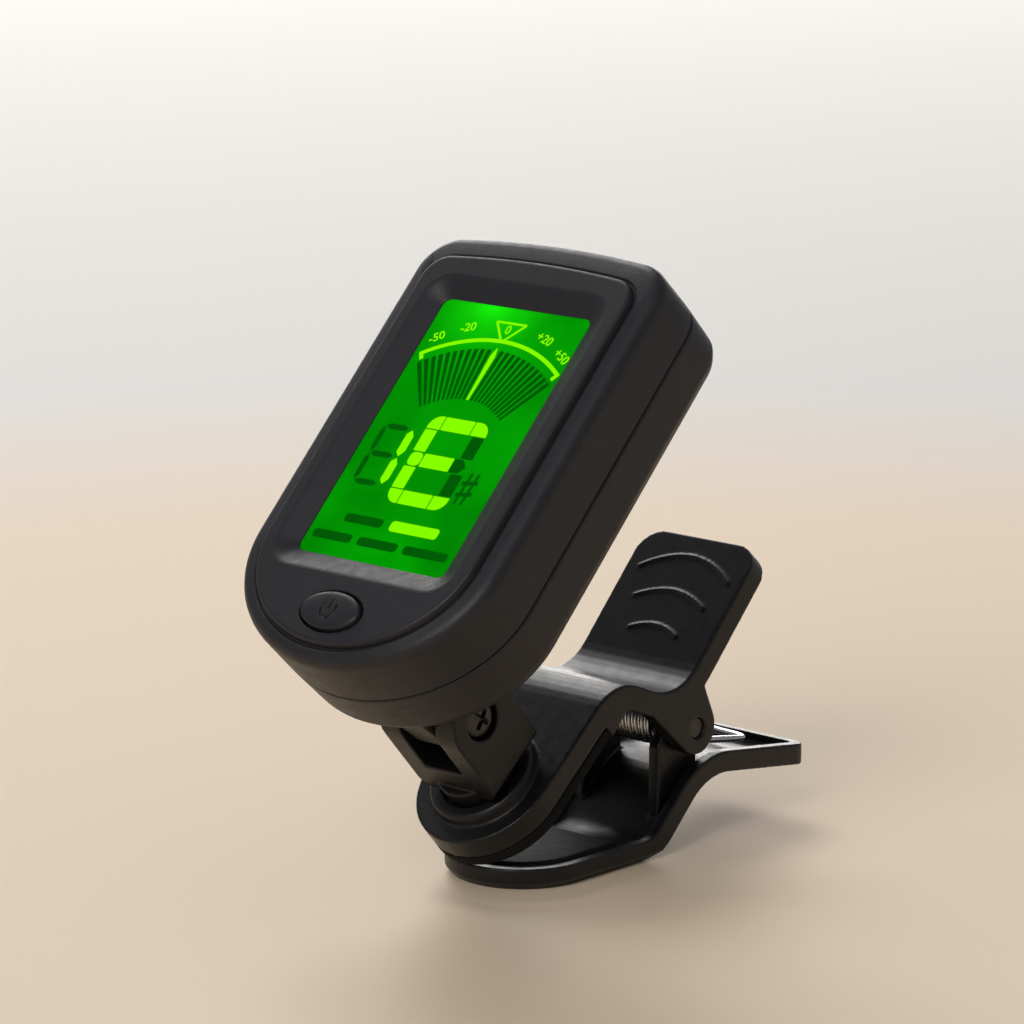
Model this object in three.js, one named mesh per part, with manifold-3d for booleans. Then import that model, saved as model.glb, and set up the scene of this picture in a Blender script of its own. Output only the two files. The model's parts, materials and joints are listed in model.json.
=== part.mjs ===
// Clip-on tuner: a tilting display head on a swivel yoke, carried by a sprung two-jaw clip.
// Millimetres, +X across the clip (along the jaw pivot), +Y from the jaw tips to the handles, +Z up.
import * as THREE from 'three';
import { mergeVertices } from 'three/addons/utils/BufferGeometryUtils.js';
import Module from 'manifold-3d';

const wasm = await Module();
wasm.setup();

// ---------------------------------------------------------------- driving dimensions

// Where the sub-assemblies sit, measured from the middle of the swivel seat.
const SEAT_LEAN = 41.3;            // degrees, slope of the upper jaw's nose plate
const FACE_UP = 46.2;              // degrees, slope of the display at rest
const HEAD_ORIGIN = { y: -15.5, z: 25.4 };
const PIVOT = { y: 22.55, z: 2.0 };
const BASE_Z = -10.1;              // underside of the lower jaw

const GAP = 0.1;                   // between pieces that only rest on each other
const LOOSE = 0.3;                 // between pieces that move past each other
const OVERCUT = 1;                 // how far a cutter runs past the surface it opens
const FAR = 60;                    // reach of a cutter that only trims one direction

// Display head: x across, u up the face, n out of the face.
const HEAD_HALF_WIDTH = 15.5;
const HEAD_TOP = 35.9;
const HEAD_BOTTOM = 12.5;          // depth of the half-ellipse that closes the lower end
const HEAD_CORNER_R = 4.3;
const HEAD_LEAST_CORNER_R = 0.8;   // kept where the outline is drawn in a long way
const HEAD_CROWN_R = 114;
const HEAD_PARTING = 6.85;
const HEAD_DEPTH = 13.2;
const HEAD_WALL = 1.4;
const FACE_THICKNESS = 1.1;
const RIM = [[-2.0, 0], [-1.4, 0.12], [-1.0, 0.45], [-0.72, 1.05]];     // level along n, inset
const PLATEAU = { half: 13.4, top: 33.2, bottom: 11.0, corner: 3.0 };
const GROOVE = [[-0.5, -0.2], [-0.72, 0], [-0.72, 0.2], [-0.15, 0.36], [0, 0.65]];
const REAR_EDGE = [[0, 1.9], [0.5, 0.8], [1.6, 0.2]];       // height over the back, inset
const REAR_FLOOR = 11.3;
const SCREEN = { width: 18.8, height: 29.5, u: 13.4, depth: 1.0, slope: 2.1, corner: 0.9 };
const BUTTON = {
  u: -7.4,
  a: 3.6,
  b: 2.0,
  proud: 0.35,
  clearance: 0.25,
  flange: 0.8,
  flangeFront: -1.3,
  flangeBack: -1.9,
  stemR: 1.1,
  stemEnd: -2.5,
};
const HEAD_LUG = { r: 3.3, halfWidth: 2.15, flare: 0.9, root: 0.8 };
const DOOR = { half: 11.0, low: 5.8, thickness: 0.95, taper: 0.4, clearance: 0.2 };
const CASE_SCREW = {
  x: 9.2,
  u: -5.2,
  boss: 1.7,
  shank: 0.6,
  tip: -3.0,
  head: 1.25,
  headHeight: 0.9,
  sink: 1.2,
  recess: { reach: 0.9, half: 0.17, depth: 0.45 },
};
const CASE_SCREW_SEAT = -HEAD_DEPTH + CASE_SCREW.sink;

// Inside the head, worked back from the face.
const WINDOW = { halfX: 10.6, halfU: 16.0, u: SCREEN.u, r: 0.8, thickness: 0.3 };
const GLASS = { halfX: 10.7, halfU: 16.3, u: SCREEN.u, r: 0.2, thickness: 1.1 };
const GUIDE = { halfX: 10.4, halfU: 14.6, u: 13.9, r: 0.4, thickness: 1.3 };
const WINDOW_FRONT = -FACE_THICKNESS - GAP;
const GLASS_FRONT = WINDOW_FRONT - WINDOW.thickness - GAP;
const GUIDE_FRONT = GLASS_FRONT - GLASS.thickness - GAP;
const LED = { halfX: 1.6, low: 28.7, high: 29.8, sink: 0.2, thickness: 0.9 };
const ZEBRA = { halfX: 9.5, low: -2.6, high: -1.1 };
const BOARD = { inset: 2.1, front: -5.1, thickness: 0.8 };
const BOARD_BACK = BOARD.front - BOARD.thickness;
const CHIP = { halfX: 3.5, low: -2.5, high: 4.5, thickness: 0.9 };
const SWITCH = { half: 2.3, height: 1.8, bore: 1.1, floor: 0.5, plunger: 0.9, plungerLow: -4.0 };
const CELL = { r: 10, thickness: 3.2, u: 18.2, step: 0.5, edge: 0.4, lidR: 8.6 };
const LEAF = {
  low: 6,
  bend: 11,
  rise: 15,
  end: 20,
  halfWidth: 2,
  thickness: 0.25,
  bendR: 1,
  drop: 1.95,
};
const BRACKET = { inner: 10.55, outer: 13.3, low: 16.5, high: 20, thickness: 0.25, bottom: -10.6 };
const PIEZO = { r: 5.5, thickness: 0.4, u: -1.0 };

// Yoke: x across, p along the seat towards the handles, q out of the seat.
const TILT_AXIS = { p: 0.95, q: 9.6 };
const YOKE_HALF_WIDTH = 5;
const YOKE_RADIUS = 3.95;
const YOKE_BASE = 1.6;
const YOKE_BEVEL = 1.0;
const YOKE_SLOT = { clearance: 0.25, floor: 5.2 };
const YOKE_BORE_GAP = 0.2;
const HINGE_SCREW = {
  shank: 1.0,
  head: 1.9,
  headHeight: 0.9,
  recess: { reach: 1.15, half: 0.25, depth: 0.5 },
};
const HINGE_NUT = { r: 2.25, height: 1.4 };
const NECK_R = 3.9;
const COLLAR = { outer: 5.5, top: 1.2, buried: 0.3, bevel: 0.3 };
const SPIGOT_R = 2.4;
const SPIGOT_GAP = 0.1;
const SPIGOT_BOTTOM = -1.3;
const WASHER = { r: 3.5, bottom: -1.75, thickness: 0.35, clearance: 0.4 };
const SWIVEL_SCREW = {
  shank: 0.8,
  tip: 4.2,
  head: 1.9,
  headHeight: 0.9,
  recess: { reach: 1.1, half: 0.25, depth: 0.45 },
};
const SCREW_POCKET = 0.6;          // relief in the pad under the swivel screw

// Clip: profiles in the y-z plane, each a chain of corners with a fillet radius.
const JAW_HALF_WIDTH = 7.5;
const JAW_WALL = 1.3;
const UPPER_DEPTH = 2.45;
const UPPER_SKIN = 1.6;
const LOWER_DEPTH = 2.15;
const LOWER_SKIN = 1.1;
const PAD_THICKNESS = 1.35;
const PAD_BEVEL = 0.3;
const PAD_END = 9.6;
const LOWER_PAD = { end: 12.4, thickness: 1.25 };
const LEVER_SLOPE = 47.2;
const LEVER_CORNER_R = 2.8;
const HANDLE_CORNER_R = 1.9;
const SOLE_BEVEL = 0.8;
const CHEEK = { end: 13.0, taper: 1.0, rise: 0.2, front: -1.9, back: -2.6 };
const UPPER_PATH = [
  { y: -5.785, z: -5.08 },
  { y: 10.47, z: 9.19, r: 5.5 },
  { y: 19.78, z: 5.47, r: 5.8 },
  { y: 31.9, z: 18.56 },
];
const LOWER_PATH = [
  { y: -2.5, z: BASE_Z },
  { y: 17.1, z: BASE_Z, r: 5.5 },
  { y: 24.27, z: -2.93, r: 6.5 },
  { y: 39.9, z: -4.99 },
];
const LOWER_NOSE_Y = 5.2;
const EAR = {
  r: 2.65,
  inner: 5.9,
  start: { y: 15.0, z: 5.2 },
  round: [228, 380],
  top: [[24.3, 4.6], [23.6, 6.2], [18.0, 5.6], [15.0, 6.4]],
};
const LOWER_LUG = {
  r: 2.5,
  outer: 5.6,
  inner: 4.3,
  front: 18.8,
  foot: -8.6,
  shoulder: 0.4,
  heel: { y: 24.5, z: -3.2 },
  round: [-30, 170],
};
const PIN = { r: 0.95, hole: 1.05, half: 7.2 };

// Torsion spring round the pivot pin; angles in degrees about the pin.
const SPRING = {
  wire: 0.36,
  mean: 2.15,
  turns: 7,
  half: 2.95,
  lowerExit: -100,
  legOffset: 0.85,
  upperArc: [75, 50, 25, 0],
  upperReach: [2.5, 5.5, 8.5],
};
const SPRING_LOWER_LEG = [
  [3.5, 26, -0.62],
  [3.5, 30, -1.25],
  [3.4, 33.6, -1.85],
  [2.6, 34.9, -2.05],
  [0, 35.4, -2.15],
  [-2.2, 35.8, -2.2],
];

// Sides of a round, by what it is used for.
const ROUND = 32;
const CELL_ROUND = 40;
const BORE_ROUND = 24;
const SMALL_ROUND = 20;
const SCREW_ROUND = 12;
const HEXAGON = 6;

// ---------------------------------------------------------------- solids

function toManifold(geometry) {
  const bare = geometry.clone();
  bare.deleteAttribute('normal');
  bare.deleteAttribute('uv');
  const merged = mergeVertices(bare, 1e-5);
  return new wasm.Manifold(new wasm.Mesh({
    numProp: 3,
    vertProperties: new Float32Array(merged.attributes.position.array),
    triVerts: new Uint32Array(merged.index.array),
  }));
}

function toGeometry(manifold) {
  const mesh = manifold.getMesh();
  const geometry = new THREE.BufferGeometry();
  geometry.setAttribute('position', new THREE.BufferAttribute(mesh.vertProperties, 3));
  geometry.setIndex(new THREE.BufferAttribute(mesh.triVerts, 1));
  return geometry;
}

function combine(operation, first, others) {
  let result = toManifold(first);
  for (const other of others) {
    result = result[operation](toManifold(other));
  }
  return toGeometry(result);
}

const join = (first, ...others) => combine('add', first, others);
const cut = (first, ...others) => combine('subtract', first, others);
const common = (first, ...others) => combine('intersect', first, others);

function moved(geometry, x, y, z) {
  return geometry.clone().translate(x, y, z);
}

// A block between two corners.
function block(low, high) {
  const size = high.map((value, axis) => value - low[axis]);
  const middle = high.map((value, axis) => (value + low[axis]) / 2);
  return new THREE.BoxGeometry(...size).translate(...middle);
}

// A cylinder along local z.
function rod(radius, z0, z1, sides = ROUND) {
  const geometry = new THREE.CylinderGeometry(radius, radius, z1 - z0, sides);
  return geometry.rotateX(Math.PI / 2).translate(0, 0, (z0 + z1) / 2);
}

// A cylinder along x, centred on a point of the plane across it.
function rodX(radius, x0, x1, y, z, sides = ROUND) {
  const geometry = new THREE.CylinderGeometry(radius, radius, x1 - x0, sides);
  return geometry.rotateZ(Math.PI / 2).translate((x0 + x1) / 2, y, z);
}

// A prism along local z.
function slab(points, z0, z1) {
  const shape = new THREE.Shape(points);
  const settings = { depth: z1 - z0, bevelEnabled: false };
  return new THREE.ExtrudeGeometry(shape, settings).translate(0, 0, z0);
}

// A prism along x whose outline is drawn in the plane across it.
function prismX(points, x0, x1) {
  const turn = new THREE.Matrix4().makeBasis(
    new THREE.Vector3(0, 1, 0),
    new THREE.Vector3(0, 0, 1),
    new THREE.Vector3(1, 0, 0),
  );
  return slab(points, x0, x1).applyMatrix4(turn);
}

// A closed skin through outlines of one point count, each given as { z, points }.
function loft(rings) {
  const count = rings[0].points.length;
  const position = [];
  for (const ring of rings) {
    for (const point of ring.points) {
      position.push(point.x, point.y, ring.z);
    }
  }
  const index = [];
  for (let level = 0; level + 1 < rings.length; level += 1) {
    for (let i = 0; i < count; i += 1) {
      const a = level * count + i;
      const b = level * count + (i + 1) % count;
      index.push(a, b, b + count, a, b + count, a + count);
    }
  }
  const top = (rings.length - 1) * count;
  for (const [a, b, c] of THREE.ShapeUtils.triangulateShape(rings[0].points, [])) {
    index.push(a, c, b);
    index.push(top + a, top + b, top + c);
  }
  const geometry = new THREE.BufferGeometry();
  geometry.setAttribute('position', new THREE.Float32BufferAttribute(position, 3));
  geometry.setIndex(index);
  return geometry;
}

// ---------------------------------------------------------------- outlines

const point = (x, y) => new THREE.Vector2(x, y);

function arc(cx, cy, a, b, from, to, steps) {
  const points = [];
  for (let i = 0; i <= steps; i += 1) {
    const angle = from + (to - from) * i / steps;
    points.push(point(cx + a * Math.cos(angle), cy + b * Math.sin(angle)));
  }
  return points;
}

function oval(a, b, cy = 0, sides = ROUND) {
  return arc(0, cy, a, b, 0, 2 * Math.PI, sides).slice(0, -1);
}

function roundedBox(halfX, halfY, r, cy = 0, steps = 4) {
  const quarter = Math.PI / 2;
  const corners = [[1, 1, 0], [-1, 1, 1], [-1, -1, 2], [1, -1, 3]];
  return corners.flatMap(([sx, sy, turn]) => (
    arc(sx * (halfX - r), cy + sy * (halfY - r), r, r, turn * quarter, (turn + 1) * quarter, steps)
  ));
}

// Straight sides, crowned top, half-ellipse below.
function shieldOutline({ half, top, bottom, corner, crown }) {
  const crownU = top - crown;
  const cornerX = half - corner;
  const cornerU = crownU + Math.sqrt((crown - corner) ** 2 - cornerX ** 2);
  const lean = Math.atan2(cornerX, cornerU - crownU);
  const upright = Math.PI / 2;
  return [
    ...arc(cornerX, cornerU, corner, corner, 0, upright - lean, 8),
    ...arc(0, crownU, crown, crown, upright - lean, upright + lean, 10).slice(1, -1),
    ...arc(-cornerX, cornerU, corner, corner, upright + lean, Math.PI, 8),
    ...arc(0, 0, half, bottom, Math.PI, 2 * Math.PI, 48),
  ];
}

// The head's outline drawn in by an inset.
function headOutline(inset) {
  return shieldOutline({
    half: HEAD_HALF_WIDTH - inset,
    top: HEAD_TOP - inset,
    bottom: HEAD_BOTTOM - inset,
    corner: Math.max(HEAD_CORNER_R - inset, HEAD_LEAST_CORNER_R),
    crown: HEAD_CROWN_R - inset,
  });
}

// The raised panel of the face, inside the rim's groove.
function plateauOutline(inset) {
  return shieldOutline({
    half: PLATEAU.half - inset,
    top: PLATEAU.top - inset,
    bottom: PLATEAU.bottom - inset,
    corner: PLATEAU.corner - inset,
    crown: HEAD_CROWN_R - inset,
  });
}

function headLoft(levels) {
  return loft(levels.map(([z, inset]) => ({ z, points: headOutline(inset) })));
}

// A chain of corners with its fillets worked out, as points with their left-hand normals.
function filletedPath(corners, steps = 8) {
  const heading = (a, b) => Math.atan2(b.z - a.z, b.y - a.y);
  const path = [];
  const add = (y, z, angle) => path.push({ y, z, ny: -Math.sin(angle), nz: Math.cos(angle) });
  add(corners[0].y, corners[0].z, heading(corners[0], corners[1]));
  for (let i = 1; i + 1 < corners.length; i += 1) {
    const corner = corners[i];
    const arriving = heading(corners[i - 1], corner);
    const leaving = heading(corner, corners[i + 1]);
    const turn = leaving - arriving;
    const reach = corner.r * Math.tan(Math.abs(turn) / 2);
    const side = Math.sign(turn);
    const startY = corner.y - reach * Math.cos(arriving);
    const startZ = corner.z - reach * Math.sin(arriving);
    const centreY = startY - side * corner.r * Math.sin(arriving);
    const centreZ = startZ + side * corner.r * Math.cos(arriving);
    for (let k = 0; k <= steps; k += 1) {
      const angle = arriving + turn * k / steps;
      const y = centreY + side * corner.r * Math.sin(angle);
      const z = centreZ - side * corner.r * Math.cos(angle);
      add(y, z, angle);
    }
  }
  const last = corners.length - 1;
  add(corners[last].y, corners[last].z, heading(corners[last - 1], corners[last]));
  return path;
}

// The band between two offsets of a path; a positive offset lies on the left of its direction.
function band(corners, from, to) {
  const path = filletedPath(corners);
  const shifted = (distance) => path.map((s) => point(s.y + s.ny * distance, s.z + s.nz * distance));
  const outline = [...shifted(from), ...shifted(to).reverse()];
  return THREE.ShapeUtils.area(outline) < 0 ? outline.reverse() : outline;
}

// ---------------------------------------------------------------- frames and materials

const radians = THREE.MathUtils.degToRad;
const seatTurn = new THREE.Matrix4().makeRotationX(radians(SEAT_LEAN));
const onSeat = (geometry) => geometry.clone().applyMatrix4(seatTurn);

function seatPoint(p, q) {
  const lean = radians(SEAT_LEAN);
  return {
    y: p * Math.cos(lean) - q * Math.sin(lean),
    z: p * Math.sin(lean) + q * Math.cos(lean),
  };
}

// The tilt axis in the head's own u and n.
function tiltAxisOnHead() {
  const axis = seatPoint(TILT_AXIS.p, TILT_AXIS.q);
  const dy = axis.y - HEAD_ORIGIN.y;
  const dz = axis.z - HEAD_ORIGIN.z;
  const slope = radians(FACE_UP);
  return {
    u: dy * Math.cos(slope) + dz * Math.sin(slope),
    n: -dy * Math.sin(slope) + dz * Math.cos(slope),
  };
}

function material(color, roughness, metalness = 0) {
  return new THREE.MeshStandardMaterial({ color, roughness, metalness });
}

const BLACK_PLASTIC = material(0x202124, 0.55);
const BUTTON_PLASTIC = material(0x26272a, 0.6);
const RUBBER = material(0x18181a, 0.85);
const STEEL = material(0xb9bcc0, 0.3, 1);
const BLACK_STEEL = material(0x2a2a2c, 0.35, 1);
const CLEAR = material(0x9fd8a8, 0.05);
const DISPLAY = material(0x16c81e, 0.2);
const WHITE_PLASTIC = material(0xe8e8e2, 0.5);
const GREEN_BOARD = material(0x1d5b34, 0.5);
const BLACK_CHIP = material(0x141414, 0.4);
const BRASS = material(0xc8a448, 0.35, 1);
const PINK_RUBBER = material(0xd98f9a, 0.7);

const tuner = new THREE.Group();
const clip = new THREE.Group();
const seat = new THREE.Group();
const head = new THREE.Group();
seat.rotation.x = radians(SEAT_LEAN);
head.rotation.x = radians(FACE_UP);
head.position.set(0, HEAD_ORIGIN.y, HEAD_ORIGIN.z);
clip.add(seat, head);
tuner.add(clip);

function piece(group, name, geometry, look) {
  const mesh = new THREE.Mesh(geometry, look);
  mesh.name = name;
  group.add(mesh);
}

// ---------------------------------------------------------------- display head

const bothSides = [-1, 1];
const quarterTurns = [0, Math.PI / 2];

function caseScrewPlaces(shape) {
  return bothSides.map((side) => moved(shape, side * CASE_SCREW.x, CASE_SCREW.u, 0));
}

function frontCover() {
  const shell = loft([
    ...[[-HEAD_PARTING, 0], ...RIM].map(([z, inset]) => ({ z, points: headOutline(inset) })),
    ...GROOVE.map(([z, inset]) => ({ z, points: plateauOutline(inset) })),
  ]);
  const hollow = headLoft([[-HEAD_PARTING - OVERCUT, HEAD_WALL], [-FACE_THICKNESS, HEAD_WALL]]);
  const { width, height, u, depth, slope, corner } = SCREEN;
  const opening = (grow) => roundedBox(width / 2 + grow, height / 2 + grow, corner + grow, u);
  const recess = loft([
    { z: -FACE_THICKNESS - OVERCUT, points: opening(0) },
    { z: -depth, points: opening(0) },
    { z: OVERCUT, points: opening(slope * (depth + OVERCUT) / depth) },
  ]);
  const holeOutline = oval(BUTTON.a + BUTTON.clearance, BUTTON.b + BUTTON.clearance, BUTTON.u);
  const buttonHole = slab(holeOutline, -FACE_THICKNESS - OVERCUT, OVERCUT);
  const boss = rod(CASE_SCREW.boss, -HEAD_PARTING + GAP, -FACE_THICKNESS + GAP, SMALL_ROUND);
  const pilot = rod(CASE_SCREW.shank + GAP, -HEAD_PARTING, CASE_SCREW.tip + LOOSE, SCREW_ROUND);
  return cut(
    join(cut(shell, hollow), ...caseScrewPlaces(boss)),
    recess,
    buttonHole,
    ...caseScrewPlaces(pilot),
  );
}

function doorSection(clearance) {
  const outer = -HEAD_DEPTH - (clearance > 0 ? OVERCUT : 0);
  const inner = -HEAD_DEPTH + DOOR.thickness + clearance;
  const half = DOOR.half + clearance;
  return [
    point(-half, inner),
    point(-half + DOOR.taper, outer),
    point(half - DOOR.taper, outer),
    point(half, inner),
  ];
}

// The battery door's dovetail, run along u and out through the head's top end.
function doorWedge(clearance) {
  const alongU = new THREE.Matrix4().makeBasis(
    new THREE.Vector3(1, 0, 0),
    new THREE.Vector3(0, 0, 1),
    new THREE.Vector3(0, -1, 0),
  );
  const section = doorSection(clearance);
  return slab(section, -HEAD_TOP - OVERCUT, -DOOR.low + clearance).applyMatrix4(alongU);
}

const rearShell = headLoft([
  ...REAR_EDGE.map(([height, inset]) => [-HEAD_DEPTH + height, inset]),
  [-HEAD_PARTING - GAP, 0],
]);

// The lug that hangs the head in the yoke: flared where it leaves the back, round at its end.
function headLug(axis) {
  const root = -HEAD_DEPTH + HEAD_LUG.root;
  const reach = HEAD_LUG.r + HEAD_LUG.flare;
  const outline = [
    point(axis.u - reach, root),
    ...arc(axis.u, axis.n, HEAD_LUG.r, HEAD_LUG.r, Math.PI, 2 * Math.PI, 16),
    point(axis.u + reach, root),
  ];
  return prismX(outline, -HEAD_LUG.halfWidth, HEAD_LUG.halfWidth);
}

function rearCover() {
  const axis = tiltAxisOnHead();
  const beyond = -HEAD_DEPTH - OVERCUT;
  const hollow = headLoft([[-REAR_FLOOR, HEAD_WALL + GAP], [-HEAD_PARTING + OVERCUT, HEAD_WALL]]);
  const bossR = CASE_SCREW.boss + GAP;
  const boss = rod(bossR, -REAR_FLOOR - GAP, -HEAD_PARTING - GAP, SMALL_ROUND);
  const counterbore = rod(CASE_SCREW.head + GAP, beyond, CASE_SCREW_SEAT, SMALL_ROUND);
  const shank = rod(CASE_SCREW.shank + GAP, beyond, -HEAD_PARTING + OVERCUT, SCREW_ROUND);
  const pocket = rod(CELL.r + LOOSE, beyond, -REAR_FLOOR + OVERCUT, CELL_ROUND);
  return cut(
    join(cut(rearShell, hollow), ...caseScrewPlaces(boss), headLug(axis)),
    ...caseScrewPlaces(counterbore),
    ...caseScrewPlaces(shank),
    doorWedge(DOOR.clearance),
    moved(pocket, 0, CELL.u, 0),
    hingeBore(axis.u, axis.n),
  );
}

function hingeBore(y, z) {
  const reach = YOKE_HALF_WIDTH + OVERCUT;
  return rodX(HINGE_SCREW.shank + GAP, -reach, reach, y, z, BORE_ROUND);
}

// A cross recess sunk from one level of z to another, about the origin.
function crossRecess(reach, halfWidth, z0, z1) {
  const bar = block([-reach, -halfWidth, z0], [reach, halfWidth, z1]);
  return quarterTurns.map((turn) => bar.clone().rotateZ(turn));
}

function caseScrew() {
  const { shank, head: headR, headHeight, tip, recess } = CASE_SCREW;
  const under = CASE_SCREW_SEAT - GAP;
  const top = under - headHeight;
  return cut(
    join(rod(shank, under - GAP, tip, SCREW_ROUND), rod(headR, top, under, SMALL_ROUND)),
    ...crossRecess(recess.reach, recess.half, top - OVERCUT, top + recess.depth),
  );
}

function circuitBoard() {
  const notch = rod(CASE_SCREW.boss + LOOSE, BOARD_BACK - OVERCUT, BOARD.front + OVERCUT, SMALL_ROUND);
  return cut(slab(headOutline(BOARD.inset), BOARD_BACK, BOARD.front), ...caseScrewPlaces(notch));
}

// A flat rectangular layer of the display, its front face at a level of n.
function panel({ halfX, halfU, u, r, thickness }, front) {
  return slab(roundedBox(halfX, halfU, r, u), front - thickness, front);
}

// Front to back: clear window, display glass, backlight, board with its parts.
function headStack() {
  const ledFront = GUIDE_FRONT - LED.sink;
  const led = block([-LED.halfX, LED.low, ledFront - LED.thickness], [LED.halfX, LED.high, ledFront]);
  const zebra = block([-ZEBRA.halfX, ZEBRA.low, BOARD.front + GAP], [ZEBRA.halfX, ZEBRA.high, GUIDE_FRONT]);
  const chipBack = BOARD_BACK - GAP - CHIP.thickness;
  const chip = block([-CHIP.halfX, CHIP.low, chipBack], [CHIP.halfX, CHIP.high, BOARD_BACK - GAP]);
  piece(head, 'lcd_window', panel(WINDOW, WINDOW_FRONT), CLEAR);
  piece(head, 'lcd_glass', panel(GLASS, GLASS_FRONT), DISPLAY);
  piece(head, 'backlight_guide', panel(GUIDE, GUIDE_FRONT), WHITE_PLASTIC);
  piece(head, 'backlight_led', led, WHITE_PLASTIC);
  piece(head, 'zebra_connector', zebra, PINK_RUBBER);
  piece(head, 'circuit_board', circuitBoard(), GREEN_BOARD);
  piece(head, 'controller_chip', chip, BLACK_CHIP);
}

function tactSwitch() {
  const { half, height, bore, floor } = SWITCH;
  const low = BOARD.front + GAP;
  const body = block([-half, BUTTON.u - half, low], [half, BUTTON.u + half, low + height]);
  const well = rod(bore, low + floor, low + height + OVERCUT, SMALL_ROUND);
  return cut(body, moved(well, 0, BUTTON.u, 0));
}

function switchPlunger() {
  const plunger = rod(SWITCH.plunger, SWITCH.plungerLow, BUTTON.stemEnd - GAP, SMALL_ROUND);
  return moved(plunger, 0, BUTTON.u, 0);
}

function powerButton() {
  const { u, a, b, proud, flange, flangeFront, flangeBack, stemR, stemEnd } = BUTTON;
  const cap = slab(oval(a, b, u), flangeFront - GAP, proud);
  const stop = slab(oval(a + flange, b + flange, u), flangeBack, flangeFront);
  const stem = moved(rod(stemR, stemEnd, flangeBack + GAP, SMALL_ROUND), 0, u, 0);
  return join(cap, stop, stem);
}

function coinCell() {
  const { r, thickness, step, edge, lidR } = CELL;
  const low = -HEAD_DEPTH + DOOR.thickness + LOOSE;
  const profile = [
    point(0, 0),
    point(r - edge, 0),
    point(r, edge),
    point(r, thickness - step),
    point(lidR + GAP, thickness - step),
    point(lidR, thickness),
    point(0, thickness),
  ];
  return new THREE.LatheGeometry(profile, CELL_ROUND).rotateX(Math.PI / 2).translate(0, CELL.u, low);
}

// A sprung leaf, soldered to the board at one end and pressed on the cell at the other.
function negativeContact() {
  const { low, bend, rise, end, halfWidth, thickness, bendR, drop } = LEAF;
  const top = BOARD_BACK - GAP;
  const path = [
    { y: low, z: top },
    { y: bend, z: top, r: bendR },
    { y: rise, z: top - drop, r: bendR },
    { y: end, z: top - drop },
  ];
  return prismX(band(path, 0, -thickness), -halfWidth, halfWidth);
}

// A bracket that stands beside the cell's rim.
function positiveContact() {
  const { inner, outer, low, high, thickness, bottom } = BRACKET;
  const top = BOARD_BACK - GAP;
  return join(
    block([inner, low, top - thickness], [outer, high, top]),
    block([inner, low, bottom], [inner + thickness, high, top]),
  );
}

function piezoDisc() {
  const floor = -REAR_FLOOR + GAP;
  return moved(rod(PIEZO.r, floor, floor + PIEZO.thickness), 0, PIEZO.u, 0);
}

function buildHead() {
  piece(head, 'front_cover', frontCover(), BLACK_PLASTIC);
  piece(head, 'rear_cover', rearCover(), BLACK_PLASTIC);
  headStack();
  piece(head, 'tact_switch', tactSwitch(), BLACK_CHIP);
  piece(head, 'switch_plunger', switchPlunger(), WHITE_PLASTIC);
  piece(head, 'power_button', powerButton(), BUTTON_PLASTIC);
  piece(head, 'coin_cell', coinCell(), STEEL);
  piece(head, 'battery_contact_negative', negativeContact(), BRASS);
  piece(head, 'battery_contact_positive', positiveContact(), BRASS);
  piece(head, 'piezo_disc', piezoDisc(), BRASS);
  piece(head, 'battery_door', common(doorWedge(0), rearShell), BLACK_PLASTIC);
  caseScrewPlaces(caseScrew()).forEach((screw, i) => {
    piece(head, `case_screw_${i + 1}`, screw, BLACK_STEEL);
  });
}

// ---------------------------------------------------------------- yoke and its fasteners

function swivelYoke() {
  const { p, q } = TILT_AXIS;
  const low = p - YOKE_RADIUS;
  const high = p + YOKE_RADIUS;
  const top = q + YOKE_RADIUS + OVERCUT;
  const half = YOKE_HALF_WIDTH;
  const front = [
    point(-half + YOKE_BEVEL, YOKE_BASE),
    point(half - YOKE_BEVEL, YOKE_BASE),
    point(half, YOKE_BASE + YOKE_BEVEL),
    point(half, top),
    point(-half, top),
    point(-half, YOKE_BASE + YOKE_BEVEL),
  ];
  const side = [point(low, YOKE_BASE - OVERCUT), point(high, YOKE_BASE - OVERCUT)];
  side.push(...arc(p, q, YOKE_RADIUS, YOKE_RADIUS, 0, Math.PI, 20));
  const arms = common(
    prismX(side, -half, half),
    slab(front, -high - OVERCUT, -low + OVERCUT).rotateX(Math.PI / 2),
  );
  const slotHalf = HEAD_LUG.halfWidth + YOKE_SLOT.clearance;
  const slot = block([-slotHalf, low - OVERCUT, YOKE_SLOT.floor], [slotHalf, high + OVERCUT, top]);
  const seatX = half - HINGE_SCREW.headHeight - GAP;
  const counterbore = rodX(HINGE_SCREW.head + YOKE_BORE_GAP, seatX, half + OVERCUT, p, q, BORE_ROUND);
  const nutFloor = -half + HINGE_NUT.height + GAP;
  const nutPocket = rodX(HINGE_NUT.r + YOKE_BORE_GAP, -half - OVERCUT, nutFloor, p, q, HEXAGON);
  const pilot = rod(SWIVEL_SCREW.shank + GAP, SPIGOT_BOTTOM - OVERCUT, SWIVEL_SCREW.tip + GAP, BORE_ROUND);
  return cut(
    join(arms, rod(NECK_R, LOOSE, YOKE_BASE + OVERCUT, CELL_ROUND), rod(SPIGOT_R, SPIGOT_BOTTOM, OVERCUT)),
    slot,
    hingeBore(p, q),
    counterbore,
    nutPocket,
    pilot,
  );
}

function hingeScrew() {
  const { p, q } = TILT_AXIS;
  const { shank, head: headR, headHeight, recess } = HINGE_SCREW;
  const outer = YOKE_HALF_WIDTH - GAP;
  const under = YOKE_HALF_WIDTH - headHeight;
  const bar = block(
    [outer - recess.depth, -recess.reach, -recess.half],
    [YOKE_HALF_WIDTH + OVERCUT, recess.reach, recess.half],
  );
  return cut(
    join(
      rodX(shank, -YOKE_HALF_WIDTH + GAP, under + GAP, p, q, BORE_ROUND),
      rodX(headR, under, outer, p, q, BORE_ROUND),
    ),
    ...quarterTurns.map((turn) => bar.clone().rotateX(turn).translate(0, p, q)),
  );
}

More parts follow.
